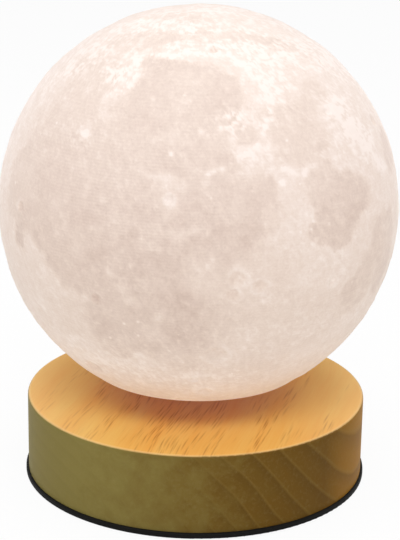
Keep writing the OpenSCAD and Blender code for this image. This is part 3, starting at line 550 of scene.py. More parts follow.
def set_out(tree, given, part, second=None):
    """Ends a tree: sets the part out round the circle, makes the copies real and dresses them."""
    if second is not None:
        second = add(tree, "GeometryNodeStoreNamedAttribute",
                     {"Geometry": second, "Name": "second", "Value": True},
                     data_type="BOOLEAN", domain="FACE")
        part = add(tree, JOIN, [[part, second]])
    index = add(tree, "GeometryNodeInputIndex")
    turn = add(tree, DIVIDE, [index, given["On the circle"]])
    turn = add(tree, MULTIPLY_ADD, [turn, TURN, given["First angle"]])
    # a copy past those on the circle stands in the middle
    outer = add(tree, BELOW, [index, given["On the circle"]])
    circle = add(tree, MULTIPLY, [outer, given["Circle radius"]])
    ahead, aside = (
        add(tree, MULTIPLY, [add(tree, wave, [turn]), circle]) for wave in (COSINE, SINE)
    )
    place = add(tree, JOIN_XYZ, [ahead, aside, given["Level"]])
    facing = add(tree, JOIN_XYZ, {0: given["Tilt"], 2: turn})
    points = add(tree, "GeometryNodePoints", {"Count": given["Count"], "Position": place})
    copies = add(tree, COPIES, {"Points": points, "Instance": part, "Rotation": facing})
    whole = add(tree, REALIZE, [copies])
    whole = add(tree, DRESS, {"Geometry": whole, "Material": given["Material"]})
    if second is not None:
        marked = add(tree, "GeometryNodeInputNamedAttribute", {"Name": "second"}, data_type="BOOLEAN")
        whole = add(tree, DRESS, {"Geometry": whole, "Selection": marked,
                                  "Material": given["Second material"]})
    add(tree, "NodeGroupOutput", [whole], None)
    return tree


def placed(tree, kind, inputs, place, **more):
    """A shape with its inputs, moved to its place."""
    return add(tree, MOVE, {"Geometry": add(tree, kind, inputs), "Translation": place, **more})


def block(tree, given, label):
    """A block whose size is the input of that label, at the place that goes with it."""
    return placed(tree, CUBE, {"Size": given[label]}, given[label + " place"])


def cross_cut(tree, given, part, label):
    """A part with a slot, and another a quarter turn on, cut out of it."""
    slot = block(tree, given, label)
    other = add(tree, MOVE, {"Geometry": slot, "Rotation": (0, 0, math.pi / 2)})
    return add(tree, CUT, {"Mesh 1": part, "Mesh 2": [slot, other]})


def rounded(tree, part, height, width_at):
    """A part made wider or narrower along its height, of which a share runs from -0.5 to 0.5."""
    here = add(tree, "GeometryNodeInputPosition")
    width = width_at(add(tree, DIVIDE, [add(tree, SPLIT, [here], "Z"), height]))
    width = add(tree, JOIN_XYZ, [width, width, 1.0])
    moved = add(tree, "ShaderNodeVectorMath", [here, width], operation="MULTIPLY")
    return add(tree, "GeometryNodeSetPosition", {"Geometry": part, "Position": moved})


def screw_tree(sizes):
    """A pan-head screw that stands on its head: a bowed head with a cross recess, and its thread."""
    tree, given = new_tree("screws", sizes)

    def bow(share):
        """The side bows in towards the face, by a fifth of the radius."""
        back = add(tree, SUBTRACT, [0.5, share])
        return add(tree, MULTIPLY_ADD, [add(tree, MULTIPLY, [back, back]), -0.2, 1.0])

    head = add(tree, CYLINDER, {"Vertices": 28, "Side Segments": 4, "Radius": given["Head radius"],
                                "Depth": given["Head height"]})
    head = rounded(tree, head, given["Head height"], bow)
    head = cross_cut(tree, given, head, "Recess")
    head = add(tree, MOVE, {"Geometry": head, "Translation": given["Head place"]})
    radius = given["Core radius"]
    core = placed(tree, CYLINDER, {"Vertices": 16, "Radius": radius, "Depth": given["Core length"]},
                  given["Core place"])
    tip = placed(tree, "GeometryNodeMeshCone", {"Vertices": 16, "Radius Bottom": radius, "Radius Top": 0.0002,
                                                "Depth": given["Tip length"]}, given["Tip place"])
    helix = add(tree, SPIRAL, {"Resolution": 16, "Rotations": given["Thread turns"], "Start Radius": radius,
                               "End Radius": radius, "Height": given["Thread rise"]})
    ridge = add(tree, CIRCLE, {"Resolution": 4, "Radius": given["Thread depth"]})
    thread = placed(tree, TUBE, {"Curve": helix, "Profile Curve": ridge, "Fill Caps": True},
                    given["Thread place"])
    return set_out(tree, given, add(tree, JOIN, [[head, core, tip, thread]]))


def screw_sizes(parts, shank, head, length):
    """A pan-head screw's sizes from its shank's radius, its head's radius and its whole length."""
    head_height = 0.0011
    depth = 0.24 * shank
    tip = 1.2 * shank
    start = head_height + depth
    rise = length - tip - start
    return {
        "Head radius": head, "Head height": head_height, "Head place": (0.0, 0.0, head_height / 2),
        "Recess": (1.15 * head, 0.26 * head, head_height), "Recess place": (0.0, 0.0, -0.45 * head_height),
        "Core radius": shank - depth, "Core length": length - tip - head_height,
        "Core place": (0.0, 0.0, (length - tip + head_height) / 2),
        "Tip length": tip, "Tip place": (0.0, 0.0, length - tip),
        "Thread turns": rise / parts.thread_pitch, "Thread rise": rise, "Thread depth": depth,
        "Thread place": (0.0, 0.0, start),
    }


def winding_tree(sizes):
    """Wire wound in a helix or a flat spiral, on a plain inner layer of the same wire."""
    tree, given = new_tree("windings", sizes)
    path = add(tree, SPIRAL, {"Resolution": given["Steps in a turn"], "Rotations": given["Turns"],
                              "Start Radius": given["Start radius"], "End Radius": given["End radius"],
                              "Height": given["Rise"]})
    section = add(tree, CIRCLE, {"Resolution": 8, "Radius": given["Wire radius"]})
    wire = placed(tree, TUBE, {"Curve": path, "Profile Curve": section, "Fill Caps": True},
                  given["Wire place"])
    ring = add(tree, CIRCLE, {"Resolution": 64, "Radius": given["Layer radius"]})
    band = add(tree, "GeometryNodeCurvePrimitiveQuadrilateral",
               {"Width": given["Layer width"], "Height": given["Layer height"]})
    layer = placed(tree, TUBE, {"Curve": ring, "Profile Curve": band, "Fill Caps": False},
                   given["Layer place"])
    return set_out(tree, given, add(tree, JOIN, [[wire, layer]]))


def winding_sizes(inner, outer, height, wire, flat):
    """A winding's sizes: a helix outside an inner layer, or one flat spiral on a thin layer."""
    half = wire / 2
    layer_out = outer - 0.6 * wire
    return {
        "Steps in a turn": 60 if flat else 24,
        "Turns": (outer - inner - wire) / wire if flat else (height - wire) / wire,
        "Start radius": inner + half if flat else outer - half, "End radius": outer - half,
        "Rise": 0.0 if flat else height - wire, "Wire radius": half,
        "Wire place": (0.0, 0.0, height / 2 if flat else half),
        "Layer radius": (inner + layer_out) / 2, "Layer width": layer_out - inner,
        "Layer height": 0.3 * height if flat else height, "Layer place": (0.0, 0.0, height / 2),
    }


def emitter_tree(sizes):
    """A square white package with a round bowl, and the phosphor window in it."""
    tree, given = new_tree("emitters", sizes)
    bowl, window = (
        placed(tree, CYLINDER, {"Vertices": 24, "Radius": given["Bowl radius"],
                                "Depth": given[label + " depth"]},
               given[label + " place"], Scale=(share, share, 1))
        for label, share in (("Bowl", 1), ("Window", 0.98))
    )
    package = add(tree, CUT, {"Mesh 1": block(tree, given, "Package"), "Mesh 2": bowl})
    return set_out(tree, given, package, window)


def can_tree(sizes):
    """An electrolytic can with its rolled neck and cross vent, on a square plastic foot."""
    tree, given = new_tree("cans", sizes)

    def roll(share):
        """The neck is rolled in a quarter of the way up, and the rim is rounded."""
        off_neck = add(tree, ABSOLUTE, [add(tree, ADD, [share, 0.26])])
        neck = add(tree, BELOW, [off_neck, 0.05])
        rim = add(tree, ABOVE, [share, 0.48])
        return weighted(tree, ((neck, -0.08), (rim, -0.10)), 1.0)

    can = add(tree, CYLINDER, {"Vertices": 32, "Side Segments": 16, "Radius": given["Can radius"],
                               "Depth": given["Can height"]})
    can = rounded(tree, can, given["Can height"], roll)
    can = add(tree, MOVE, {"Geometry": can, "Translation": given["Can place"]})
    return set_out(tree, given, cross_cut(tree, given, can, "Vent"), block(tree, given, "Foot"))


def chip_tree(sizes):
    """A moulded chip with a dimple at its first leg, and bent legs along two sides."""
    tree, given = new_tree("chips", sizes)
    dimple = placed(tree, CYLINDER, {"Vertices": 16, "Radius": 0.0003, "Depth": 0.0002},
                    given["Dimple place"])
    body = add(tree, CUT, {"Mesh 1": block(tree, given, "Body"), "Mesh 2": dimple})
    bends = [block(tree, given, label) for label in ("Shoulder", "Riser", "Sole")]
    leg = add(tree, CUT, {"Mesh 2": bends}, operation="UNION")
    row = add(tree, "GeometryNodeMeshLine",
              {"Count": given["Legs in a row"], "Start Location": given["First leg"],
               "Offset": given["Leg step"]})
    legs = add(tree, REALIZE, [add(tree, COPIES, {"Points": row, "Instance": leg})])
    far = add(tree, MOVE, {"Geometry": legs, "Rotation": (0, 0, math.pi)})
    return set_out(tree, given, body, add(tree, JOIN, [[legs, far]]))


def smooth_with_creases(mesh, degrees):
    """Shades a mesh smooth, but for the edges that are sharper than the angle."""
    mesh.polygons.foreach_set("use_smooth", [True] * len(mesh.polygons))
    work = bmesh.new()
    work.from_mesh(mesh)
    for edge in work.edges:
        if len(edge.link_faces) == 2 and edge.calc_face_angle(0) > math.radians(degrees):
            edge.smooth = False
    work.to_mesh(mesh)
    work.free()


def standing(node):
    """The level of a CAD node's lowest point, and its height."""
    low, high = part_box(node)
    return low[2], high[2] - low[2]


def grow(name, build_tree, sizes, body, node, crease=35):
    """Runs a tree with its sizes set, and keeps the result as a plain mesh in place of a CAD node."""
    piece = bpy.data.objects.new(name, bpy.data.meshes.new(name))
    bpy.context.collection.objects.link(piece)
    modifier = piece.modifiers.new(name, "NODES")
    modifier.node_group = build_tree(sizes)
    for socket in modifier.node_group.interface.items_tree:
        if socket.in_out == "INPUT":
            modifier[socket.identifier] = sizes[socket.name]
    depsgraph = bpy.context.evaluated_depsgraph_get()
    mesh = bpy.data.meshes.new_from_object(piece.evaluated_get(depsgraph))
    piece.modifiers.remove(modifier)
    piece.data = mesh
    smooth_with_creases(mesh, crease)
    if not len(mesh.polygons):
        raise RuntimeError(f"{name} came out empty")
    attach(piece, body)
    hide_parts(node)


# ---------------------------------------------------------------- the moon's surface
def unit(latitude, longitude):
    """Direction on the globe of a place on the moon's map, at the map's own stretch."""
    lat = math.radians(latitude * LAT_STRETCH)
    lon = math.radians(longitude * LON_STRETCH)
    on_map = [math.cos(lat) * math.sin(lon), -math.cos(lat) * math.cos(lon), math.sin(lat)]
    return MAP_TO_GLOBE @ np.array(on_map)


def compass(latitude, longitude):
    """The east and north directions on the globe at a place on the map."""
    centre = unit(latitude, longitude)
    north = unit(latitude + 0.5, longitude) - centre
    north -= centre * north.dot(centre)
    north /= np.linalg.norm(north)
    return centre, np.cross(north, centre), north


def lattice(cells, seed):
    """A repeatable random number between -1 and 1 for each whole-number cell."""
    mixed = cells.astype(np.int64) * np.array([73856093, 19349663, 83492791])
    value = (mixed[:, 0] ^ mixed[:, 1] ^ mixed[:, 2]) + seed * 374761393
    value = (value ^ (value >> 13)) * 1274126177
    value = (value ^ (value >> 16)) & 0xFFFFFF
    return value / 0x7FFFFF - 1.0


def noise(points, seed, octaves, gain=0.5):
    """Smooth noise of several octaves at points, about -1 to 1."""
    total = np.zeros(len(points))
    weight = 1.0
    for octave in range(octaves):
        scaled = points * 2.0**octave + 17.3 * octave
        cell = np.floor(scaled)
        part = scaled - cell
        part = part * part * (3 - 2 * part)
        value = np.zeros(len(points))
        for corner in range(8):
            step = np.array([corner & 1, corner >> 1 & 1, corner >> 2 & 1])
            share = np.prod(np.where(step, part, 1 - part), axis=1)
            value += share * lattice(cell + step, seed + octave)
        total += weight * value
        weight *= gain
    return total


def shifts(points, first_seed, octaves, gain=0.5):
    """Noise with a seed of its own for each of the three axes."""
    seeds = range(first_seed, first_seed + 3)
    return np.stack([noise(points, seed, octaves, gain) for seed in seeds], axis=1)


def smooth(value, low, high):
    """0 below low, 1 above high, and smooth between."""
    t = np.clip((value - low) / (high - low), 0, 1)
    return t * t * (3 - 2 * t)


def spread(points, areas, sharpness):
    """For each direction, the summed nearness to the areas and the mean of their last number."""
    field = np.zeros(len(points))
    total = np.zeros(len(points))
    for lat, lon, wide, high, turn, depth in areas:
        centre, east, north = compass(lat, lon)
        x = points @ east
        y = points @ north
        c = math.cos(math.radians(turn))
        s = math.sin(math.radians(turn))
        along = (x * c + y * s) / math.sin(math.radians(wide))
        aside = (-x * s + y * c) / math.sin(math.radians(min(high, 80)))
        near = np.exp(-sharpness * (along**2 + aside**2)) * (points @ centre > 0)
        field += near
        total += near * depth
    return field, total / np.maximum(field, 1e-9)


def plains_at(points):
    """How dark the map is at each direction, 0 to about 1."""
    # the shores wander in broad and in fine bends
    warped = points + 0.030 * shifts(points * 4, 11, 3) + 0.020 * shifts(points * 14, 14, 5, 0.7)
    warped /= np.linalg.norm(warped, axis=1)[:, None]
    field, depth = spread(warped, PLAINS, 1.6)
    # a ragged shore, and lighter dust within the plains
    dust = 1 - 0.30 * noise(points * 11, 21, 5, 0.7)
    return smooth(field, 0.13, 0.32) * depth * dust


def brightness_at(points):
    """Bright craters with their rays, bright ranges and bright areas, 0 to 1."""
    rng = np.random.default_rng(5)
    crumbs = noise(points * 46, 31, 3, 0.8)
    ragged = np.clip(1 + crumbs, 0, 2.2)
    field, strength = spread(points, BRIGHT_AREAS, 1.2)
    bright = np.clip(field, 0, 1) * strength * np.clip(0.6 + 1.1 * crumbs, -0.2, 2.2)
    # the highlands are crumbly all over
    bright += 0.21 * crumbs + 0.12 * noise(points * 12, 35, 3)
    for lat, lon, size, strength, count, reach in BRIGHT_CRATERS:
        centre, east, north = compass(lat, lon)
        facing = points @ centre > 0
        away = np.degrees(np.arccos(np.clip(points @ centre, -1, 1)))
        spot = strength * np.exp(-((away / size) ** 2) * 1.2)
        bearing = np.arctan2(points @ north, points @ east)
        for _ in range(count):
            aim = rng.uniform(-math.pi, math.pi)
            length = reach * rng.uniform(0.4, 1.4)
            turn = np.abs((bearing - aim + math.pi) % TURN - math.pi)
            # half a degree wide at the crater, and wider outwards; none of it behind the crater
            aside = np.where(turn < 1.2, turn * away, 99)
            line = np.exp(-((aside / (0.5 + 0.035 * away)) ** 2)) * np.exp(-away / length)
            spot = np.maximum(spot, 0.22 * strength * line * ragged)
        bright = np.maximum(bright, np.where(facing, spot, 0))
    wander = points + 0.012 * shifts(points * 20, 32, 3)
    for width, strength, line in RANGES:
        corners = [unit(*place) for place in line]
        for start, end in zip(corners[:-1], corners[1:]):
            leg = end - start
            share = np.clip(((wander - start) @ leg) / leg.dot(leg), 0, 1)
            away = np.degrees(np.linalg.norm(wander - start - share[:, None] * leg, axis=1))
            ridge = strength * 0.5 * np.exp(-((away / width) ** 2)) * ragged
            bright = np.maximum(bright, ridge)
    return np.clip(bright, -0.3, 1.2)


def small_craters():
    """Seeded small craters all round the globe: direction and diameter in kilometres."""
    rng = np.random.default_rng(17)
    count, smallest, span = 620, 26, 60
    aim = rng.normal(size=(count, 3))
    aim /= np.linalg.norm(aim, axis=1)[:, None]
    sizes = smallest + span * rng.power(0.35, size=count) ** 3
    return list(zip(aim, sizes))


def relief_at(points, dark, depth):
    """Height of the surface against the smooth globe, in metres and never above it, and its painted shade."""
    rough = noise(points * 9, 41, 5, 0.6)
    # shares of the depth: the land lies low enough for its rims, and the plains lie lower and smoother
    land_drop, roughness, plain_drop = 0.28, 0.22, 0.18
    height = depth * (-land_drop + roughness * rough * (1 - 0.75 * dark) - plain_drop * dark)
    shade = np.full(len(points), 0.5)
    # in radii of the crater
    rim_at, rim_width, rim_height = 1.05, 0.22, 0.35
    craters = [(unit(lat, lon), km, 1.0) for lat, lon, km in CRATERS]
    craters += [(aim, km, 0.45) for aim, km in small_craters()]
    for centre, km, strength in craters:
        radius = km / MOON_KM
        near = np.nonzero(points @ centre > math.cos(2.2 * radius))[0]
        if not len(near):
            continue
        if strength < 1 and dark[near].mean() > 0.45:
            strength *= 0.35
        away = np.arccos(np.clip(points[near] @ centre, -1, 1)) / radius
        size = min(1.0, radius * 30)
        bowl = -(1 - smooth(away, 0.25, 0.95)) * depth * size * strength
        ring = np.exp(-(((away - rim_at) / rim_width) ** 2))
        height[near] += bowl + ring * depth * rim_height * size * strength
        # the floors of the largest craters are as bright as the land round them
        floor = 0.8 * (1 - 0.8 * smooth(np.array([km]), 90, 150)[0])
        shade[near] += 0.30 * strength * size * (ring - floor * (away < 0.8))
    return np.minimum(height, 0), np.clip(shade, 0, 1)


def shell_profile(globe, flat, middle):
    """The shell's section below its outside: (radius, height) from the flat rim to the inner top."""
    inner = globe.radius - globe.wall
    # both lie round the axis, so half their width is their radius; then comes the clearance
    cap_low, cap_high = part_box("shell_cap")
    coil_low, coil_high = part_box("receiving_coil")
    cap_radius = (cap_high[0] - cap_low[0]) / 2 + 0.00015
    seat_radius = (coil_high[0] - coil_low[0]) / 2 + 0.0004
    seat = flat + globe.cap_thickness
    top = seat + globe.seat_height
    points = [(cap_radius, flat), (cap_radius, seat), (seat_radius, seat), (seat_radius, top)]
    start = math.asin((top - middle) / inner)
    steps = 14
    for step in range(steps):
        rise = start + (math.pi / 2 - start) * step / steps
        points.append((inner * math.cos(rise), middle + inner * math.sin(rise)))
    return points


def build_globe(globe):
    """The printed shell: a fine outside with its relief, the flat rim, the seat and the inside."""
    columns, rows = 400, 220
    steps = np.arange(columns) / columns
    # columns lie closer together at the front, where the near side faces
    crowding = 0.35
    turn = TURN * steps - crowding * np.sin(TURN * steps)
    around = np.stack([np.sin(turn), -np.cos(turn)], axis=1)
    low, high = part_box("moon_shell")
    flat, middle = low[2], high[2] - globe.radius
    flat_angle = math.acos((flat - middle) / globe.radius)
    angles = np.linspace(0, flat_angle, rows + 1)[1:]
    rings = [np.column_stack([around * math.sin(a), np.full(columns, math.cos(a))]) for a in angles]
    points = np.concatenate([np.array([[0, 0, 1.0]])] + rings)
    dark = plains_at(points)
    bright = brightness_at(points)
    height, shade = relief_at(points, dark, globe.crater_depth)
    # the relief fades out towards the flat rim, and at the very top
    fade = smooth(points[:, 2], math.cos(flat_angle), math.cos(flat_angle) + 0.03)
    fade[0] = 0
    outside = points * (globe.radius + height * fade)[:, None] + [0, 0, middle]
    inside = [
        np.column_stack([around * radius, np.full(columns, level)])
        for radius, level in shell_profile(globe, flat, middle)
    ]
    inner_top = np.array([[0, 0, middle + globe.radius - globe.wall]])
    verts = np.concatenate([outside] + inside + [inner_top])
    last = 1 + (rows + len(inside) - 1) * columns
    beside = [(i, (i + 1) % columns) for i in range(columns)]
    faces = [
        (low + i, low + columns + i, low + columns + j, low + j)
        for low in range(1, last, columns) for i, j in beside
    ]
    for i, j in beside:
        faces.append((0, 1 + i, 1 + j))
        faces.append((last + i, len(verts) - 1, last + j))
    mesh = bpy.data.meshes.new("moon_globe")
    mesh.from_pydata(verts.tolist(), [], faces)
    # red the plains, green the bright parts, blue the relief's painted shade, at 0.5 where there is none
    colours = np.tile([0, 0, 0.5, 1.0], (len(verts), 1))
    colours[: len(points), :3] = np.column_stack([dark, bright, shade])
    layer = mesh.color_attributes.new("moon_map", "FLOAT_COLOR", "POINT")
    layer.data.foreach_set("color", colours.ravel())
    smooth_with_creases(mesh, 40)
    return mesh


# ---------------------------------------------------------------- operators
class LAMP_OT_stage(bpy.types.Operator):
    """Camera, lights, pale floor and white surroundings"""

    bl_idname = "lamp.stage"
    bl_label = "Stage"

    def execute(self, context):
        stage = context.scene.lamp_stage
        scene = context.scene
        scene.view_settings.view_transform = "Standard"
        self.add_camera(scene, stage)
        self.add_floor()
        self.add_world(scene, stage)
        self.add_area("overhead", (0.0, 0.05, 1.15), stage.overhead_power, 0.9, 0.9)
        self.add_area("front", (-0.03, -0.77, 0.95), stage.front_power, 1.0, 0.24)
        return {"FINISHED"}

    def add_camera(self, scene, stage):
        """The camera that the photograph was fitted with."""
        rise, pitch, yaw, roll = (
            getattr(stage, "camera_" + name) for name in ("elevation", "pitch", "yaw", "roll")
        )
        place = Vector((0, -math.cos(rise), math.sin(rise))) * stage.camera_distance
        place.z += WOOD_HIGH[2]
        ahead = Vector((math.sin(yaw), math.cos(yaw), 0))
        forward = ahead * math.cos(pitch) - Vector((0, 0, math.sin(pitch)))
        level = Vector((math.cos(yaw), -math.sin(yaw), 0))
        upright = level.cross(forward)
        right = math.cos(roll) * level + math.sin(roll) * upright
        up = math.cos(roll) * upright - math.sin(roll) * level
        data = bpy.data.cameras.new("camera")
        data.sensor_fit = "VERTICAL"
        data.sensor_height = 36
        data.lens = stage.camera_lens
        data.clip_start = 0.01
        camera = bpy.data.objects.new("camera", data)
        turn = Matrix((right, up, -forward)).transposed().to_4x4()
        camera.matrix_world = Matrix.Translation(place) @ turn
        scene.collection.objects.link(camera)
        scene.camera = camera

    def add_floor(self):
        """A floor that is seen as nearly white, so that only the soft shadow stands out."""
        half, seen_white = 3.0, 0.93
        mesh = bpy.data.meshes.new("floor")
        corners = [(-half, -half, 0), (half, -half, 0), (half, half, 0), (-half, half, 0)]
        mesh.from_pydata(corners, [], [(0, 1, 2, 3)])
        floor = bpy.data.objects.new("floor", mesh)
        bpy.context.collection.objects.link(floor)
        material = bpy.data.materials.new("floor_white")
        tree = empty_tree(material)
        path = add(tree, "ShaderNodeLightPath", out=None).outputs
        seen = add(tree, MAXIMUM, [path["Is Camera Ray"], path["Is Glossy Ray"]])
        seen = add(tree, MULTIPLY, [seen, seen_white])
        diffuse = add(tree, "ShaderNodeBsdfDiffuse", {"Color": (0.9, 0.9, 0.9, 1)})
        white = add(tree, "ShaderNodeEmission", {"Color": WHITE, "Strength": 1.0})
        surface = add(tree, "ShaderNodeMixShader", [seen, diffuse, white])
        add(tree, "ShaderNodeOutputMaterial", [surface], None)
        mesh.materials.append(material)

    def add_world(self, scene, stage):
        """White surroundings that light the lamp less than they look."""
        world = bpy.data.worlds.new("studio")
        tree = empty_tree(world)
        path = add(tree, "ShaderNodeLightPath", out=None).outputs
        seen = add(tree, MAXIMUM, [path["Is Camera Ray"], path["Is Glossy Ray"]])
        seen = add(tree, MAXIMUM, [seen, path["Is Transmission Ray"]])
        bright = add(tree, MULTIPLY_ADD, [seen, 1.0 - stage.sky, stage.sky])
        back = add(tree, "ShaderNodeBackground", {"Color": WHITE, "Strength": bright})
        add(tree, "ShaderNodeOutputWorld", [back], None)
        scene.world = world

    def add_area(self, name, place, watts, wide, high):
        """A soft lamp that points at the middle of the moon lamp."""
        data = bpy.data.lights.new(name, "AREA")
        data.energy = watts
        data.shape = "RECTANGLE"
        data.size = wide
        data.size_y = high
        lamp = bpy.data.objects.new(name, data)
        lamp.location = place
        middle = Vector((0, 0, 0.08))
        aim = middle - Vector(place)
        lamp.rotation_euler = aim.to_track_quat("-Z", "Y").to_euler()
        bpy.context.collection.objects.link(lamp)


class LAMP_OT_globe(bpy.types.Operator):
    """The printed moon globe with its relief and its map"""

    bl_idname = "lamp.globe"
    bl_label = "Moon globe"

    def execute(self, context):
        globe = context.scene.lamp_globe
        piece = bpy.data.objects.new("moon_globe", build_globe(globe))
        bpy.context.collection.objects.link(piece)
        piece.data.materials.append(printed_moon(globe))
        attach(piece, "globe")
        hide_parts("moon_shell")
        return {"FINISHED"}


class LAMP_OT_base(bpy.types.Operator):
    """Finishes of the wooden base, its cover and its feet"""

    bl_idname = "lamp.base"
    bl_label = "Base"

    def execute(self, context):
        dress(turned_wood(context.scene.lamp_wood), "wood_body")
        dress(moulded_plastic("cover_abs", "#0B0A08", 0.65, 0.6, shine=0.1), "bottom_cover")
        dress(moulded_plastic("foot_rubber", "#1F1F1F", 0.8, 0.4, shine=0.3), "rubber_feet")
        return {"FINISHED"}


class LAMP_OT_screws(bpy.types.Operator):
    """Pan-head screws of the cover, the coil frame, the cap and the boards"""

    bl_idname = "lamp.screws"
    bl_label = "Screws"

    def execute(self, context):
        parts = context.scene.lamp_parts
        steel = plated_metal("zinc_plated_steel", parts.steel)
        # node, body, number, circle radius, first angle in degrees, shank and head radius, upside down
        groups = (
            ("cover_screws", "base", 4, 0.0535, 45, 0.0015, 0.00285, False),
            ("frame_screws", "base", 4, 0.034, 45, 0.0015, 0.00285, False),
            ("cap_screws", "globe", 3, 0.0358, 0, 0.0011, 0.00209, False),
            ("board_screws", "globe", 3, 0.0198, 60, 0.0011, 0.00209, True),
        )
        for node, body, count, circle, first, shank, head, upside_down in groups:
            low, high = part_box(node)
            level = high[2] if upside_down else low[2]
            sizes = ring_sizes(count, circle, first, level, steel, upside_down)
            sizes.update(screw_sizes(parts, shank, head, high[2] - low[2]))
            grow("pan_head_" + node, screw_tree, sizes, body, node)
        return {"FINISHED"}


class LAMP_OT_windings(bpy.types.Operator):
    """Wound copper: four electromagnets, the sending coil and the receiving coil"""

    bl_idname = "lamp.windings"
    bl_label = "Windings"

    def execute(self, context):
        parts = context.scene.lamp_parts
        copper = enamelled_copper(parts)
        # node, body, number, circle radius, inner and outer radius, wire, flat or not
        groups = (
            ("coil_windings", "base", 4, 0.024, 0.0053, 0.0112, parts.magnet_wire, False),
            ("sending_coil", "base", 1, 0.0, 0.046, 0.056, parts.sending_wire, True),
            ("receiving_coil", "globe", 1, 0.0, 0.0277, 0.0333, parts.receiving_wire, True),
        )
        for node, body, count, circle, inner, outer, wire, flat in groups:
            low, tall = standing(node)
            sizes = ring_sizes(count, circle, 0, low, copper)
            sizes.update(winding_sizes(inner, outer, tall, wire, flat))
            grow("wound_" + node, winding_tree, sizes, body, node, crease=60)
        return {"FINISHED"}


class LAMP_OT_emitters(bpy.types.Operator):
    """Light emitters: nine in a ring and one in the middle"""

    bl_idname = "lamp.emitters"
    bl_label = "Light emitters"

    def execute(self, context):
        low, tall = standing("light_emitters")
        side = 0.0035
        # warm white: yellow phosphor in silicone, in a white moulded package
        phosphor = milky("phosphor", "#F2D04E", "#FFF1B0", 0.5, 2.0, 0.5)
        sizes = ring_sizes(10, 0.0124, 0, low, moulded_plastic("emitter_package", "#EFEDE6"), ring=9)
        sizes.update({
            "Package": (side, side, tall), "Package place": (0.0, 0.0, tall / 2),
            "Bowl radius": 0.4 * side, "Bowl depth": 0.6 * tall,
            "Bowl place": (0.0, 0.0, tall), "Window depth": 0.5 * tall,
            "Window place": (0.0, 0.0, 0.68 * tall), "Second material": phosphor,
        })
        grow("emitter_ring", emitter_tree, sizes, "globe", "light_emitters")
        return {"FINISHED"}


class LAMP_OT_cans(bpy.types.Operator):
    """Electrolytic capacitors on the control board"""

    bl_idname = "lamp.cans"
    bl_label = "Capacitors"

    def execute(self, context):
        low, tall = standing("capacitors")
        foot = 0.0008
        can = tall - foot
        sizes = ring_sizes(4, 0.034, 45, low, plated_metal("can_aluminium", "#9AA3AF", 0.3))
        sizes.update({
            "Can radius": 0.00315, "Can height": can, "Can place": (0.0, 0.0, foot + can / 2),
            "Vent": (0.0040, 0.0003, 0.0004), "Vent place": (0.0, 0.0, tall),
            "Foot": (0.0066, 0.0066, foot), "Foot place": (0.0, 0.0, foot / 2),
            "Second material": moulded_plastic("can_foot_nylon", "#1B1B1D"),
        })
        grow("electrolytic_cans", can_tree, sizes, "base", "capacitors")
        return {"FINISHED"}


class LAMP_OT_chips(bpy.types.Operator):
    """Driver chips beside the electromagnets"""

    bl_idname = "lamp.chips"
    bl_label = "Driver chips"

    def execute(self, context):
        low, tall = standing("driver_chips")
        wide, long = 0.004, 0.005
        sheet = 0.00015
        leg = (0.0006, 0.0004, 0.0009)
        step = 0.00127
        legs = 4
        # the body leaves room for the legs at both sides, and stands 0.1 mm off the board
        body = (wide - 2 * leg[0], long, tall - 0.0001)
        sizes = ring_sizes(4, 0.0345, 30, low, moulded_plastic("chip_epoxy_legged", "#18181A", 0.55))
        sizes.update({
            "Body": body, "Body place": (0.0, 0.0, tall - body[2] / 2),
            "Dimple place": (-0.3 * body[0], -0.4 * body[1], tall),
            "Shoulder": (0.5 * leg[0] + sheet, leg[1], sheet),
            "Shoulder place": (0.25 * leg[0] - sheet / 2, 0.0, leg[2] - sheet / 2),
            "Riser": (sheet, leg[1], leg[2]), "Riser place": (0.5 * leg[0] - sheet / 2, 0.0, leg[2] / 2),
            "Sole": (0.5 * leg[0] + sheet, leg[1], sheet),
            "Sole place": (0.75 * leg[0] - sheet / 2, 0.0, sheet / 2),
            "Legs in a row": legs, "First leg": (wide / 2 - leg[0], -step * (legs - 1) / 2, 0.0),
            "Leg step": (0.0, step, 0.0),
            "Second material": plated_metal("tinned_legs", "#C8C9C6", 0.35),
        })
        grow("legged_driver_chips", chip_tree, sizes, "base", "driver_chips")
        return {"FINISHED"}


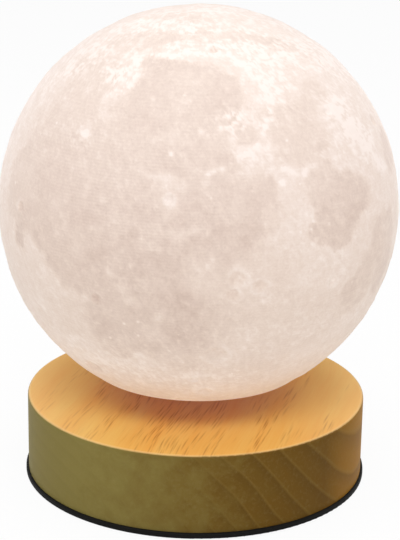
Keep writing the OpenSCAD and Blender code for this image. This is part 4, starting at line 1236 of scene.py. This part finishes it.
class LAMP_OT_inner(bpy.types.Operator):
    """Finishes of the other metal, ferrite, plastic and boards inside"""

    bl_idname = "lamp.inner"
    bl_label = "Inner parts"

    def execute(self, context):
        dress(moulded_plastic("frame_abs", "#232325", 0.5), "coil_frame", "button_switch",
              "button_plunger")
        dress(moulded_plastic("inlet_nylon", "#141414", 0.4, shine=0.3), "inlet_housing")
        dress(moulded_plastic("bobbin_nylon", "#E6DFC8", 0.5), "coil_bobbins", "lower_spacers",
              "upper_spacers")
        # painted light: the thin white ABS cap glows violet, which paints a violet shade onto the wood below
        dress(moulded_plastic("cap_abs_painted_glow", "#EDEAE2", light="#7755FF", glow=0.24), "shell_cap")
        dress(moulded_plastic("lid_abs", "#EDEAE2"), "magnet_lid")
        dress(moulded_plastic("chip_epoxy", "#18181A", 0.55), "hall_sensors", "receiver_parts")
        dress(plated_metal("nickel_plate", "#CFCBC2", 0.2), "inlet_pin", "button_bezel")
        dress(plated_metal("magnet_nickel", "#BFC0C1", 0.22), "float_magnet")
        dress(plated_metal("satin_aluminium", "#D0D1D2", 0.35, (1, 1, 0.1)), "button_cap")
        dress(plated_metal("soft_iron", "#8E9194", 0.4), "coil_cores")
        dress(sintered_ferrite(), "ring_magnet", "sending_ferrite", "receiving_ferrite", "choke")
        dress(circuit_board(), "control_board", "hall_board", "receiver_board")
        dress(circuit_board("light_board_mask", "#E9E9E4", "#D5D6CE"), "light_board")
        # opal polycarbonate: milky white that passes light evenly
        dress(milky("opal_plastic", "#F4F1EA", "#FFFFFF", 3.0, 0.4, 0.35), "diffuser")
        return {"FINISHED"}


class LAMP_PT_panel(bpy.types.Panel):
    """Lists the pieces and their settings"""

    bl_label = "Moon Lamp"
    bl_idname = "LAMP_PT_panel"
    bl_space_type = "VIEW_3D"
    bl_region_type = "UI"
    bl_category = "Moon Lamp"

    def draw(self, context):
        for operator in OPERATORS:
            self.layout.operator(operator.bl_idname)
        for group in GROUPS:
            settings = getattr(context.scene, group)
            box = self.layout.box()
            for name in settings.__annotations__:
                box.prop(settings, name)


OPERATORS = (
    LAMP_OT_stage, LAMP_OT_globe, LAMP_OT_base, LAMP_OT_screws, LAMP_OT_windings,
    LAMP_OT_emitters, LAMP_OT_cans, LAMP_OT_chips, LAMP_OT_inner,
)
GROUPS = {
    "lamp_globe": LampGlobe, "lamp_wood": LampWood, "lamp_parts": LampParts,
    "lamp_stage": LampStage,
}
CLASSES = (*GROUPS.values(), *OPERATORS, LAMP_PT_panel)


def register():
    for item in CLASSES:
        bpy.utils.register_class(item)
    for name, group in GROUPS.items():
        setattr(bpy.types.Scene, name, bpy.props.PointerProperty(type=group))


def unregister():
    for name in GROUPS:
        delattr(bpy.types.Scene, name)
    for item in reversed(CLASSES):
        bpy.utils.unregister_class(item)


def main():
    register()
    bpy.ops.lamp.stage()
    bpy.ops.lamp.globe()
    bpy.ops.lamp.base()
    bpy.ops.lamp.screws()
    bpy.ops.lamp.windings()
    bpy.ops.lamp.emitters()
    bpy.ops.lamp.cans()
    bpy.ops.lamp.chips()
    bpy.ops.lamp.inner()


if __name__ == "__main__":
    main()
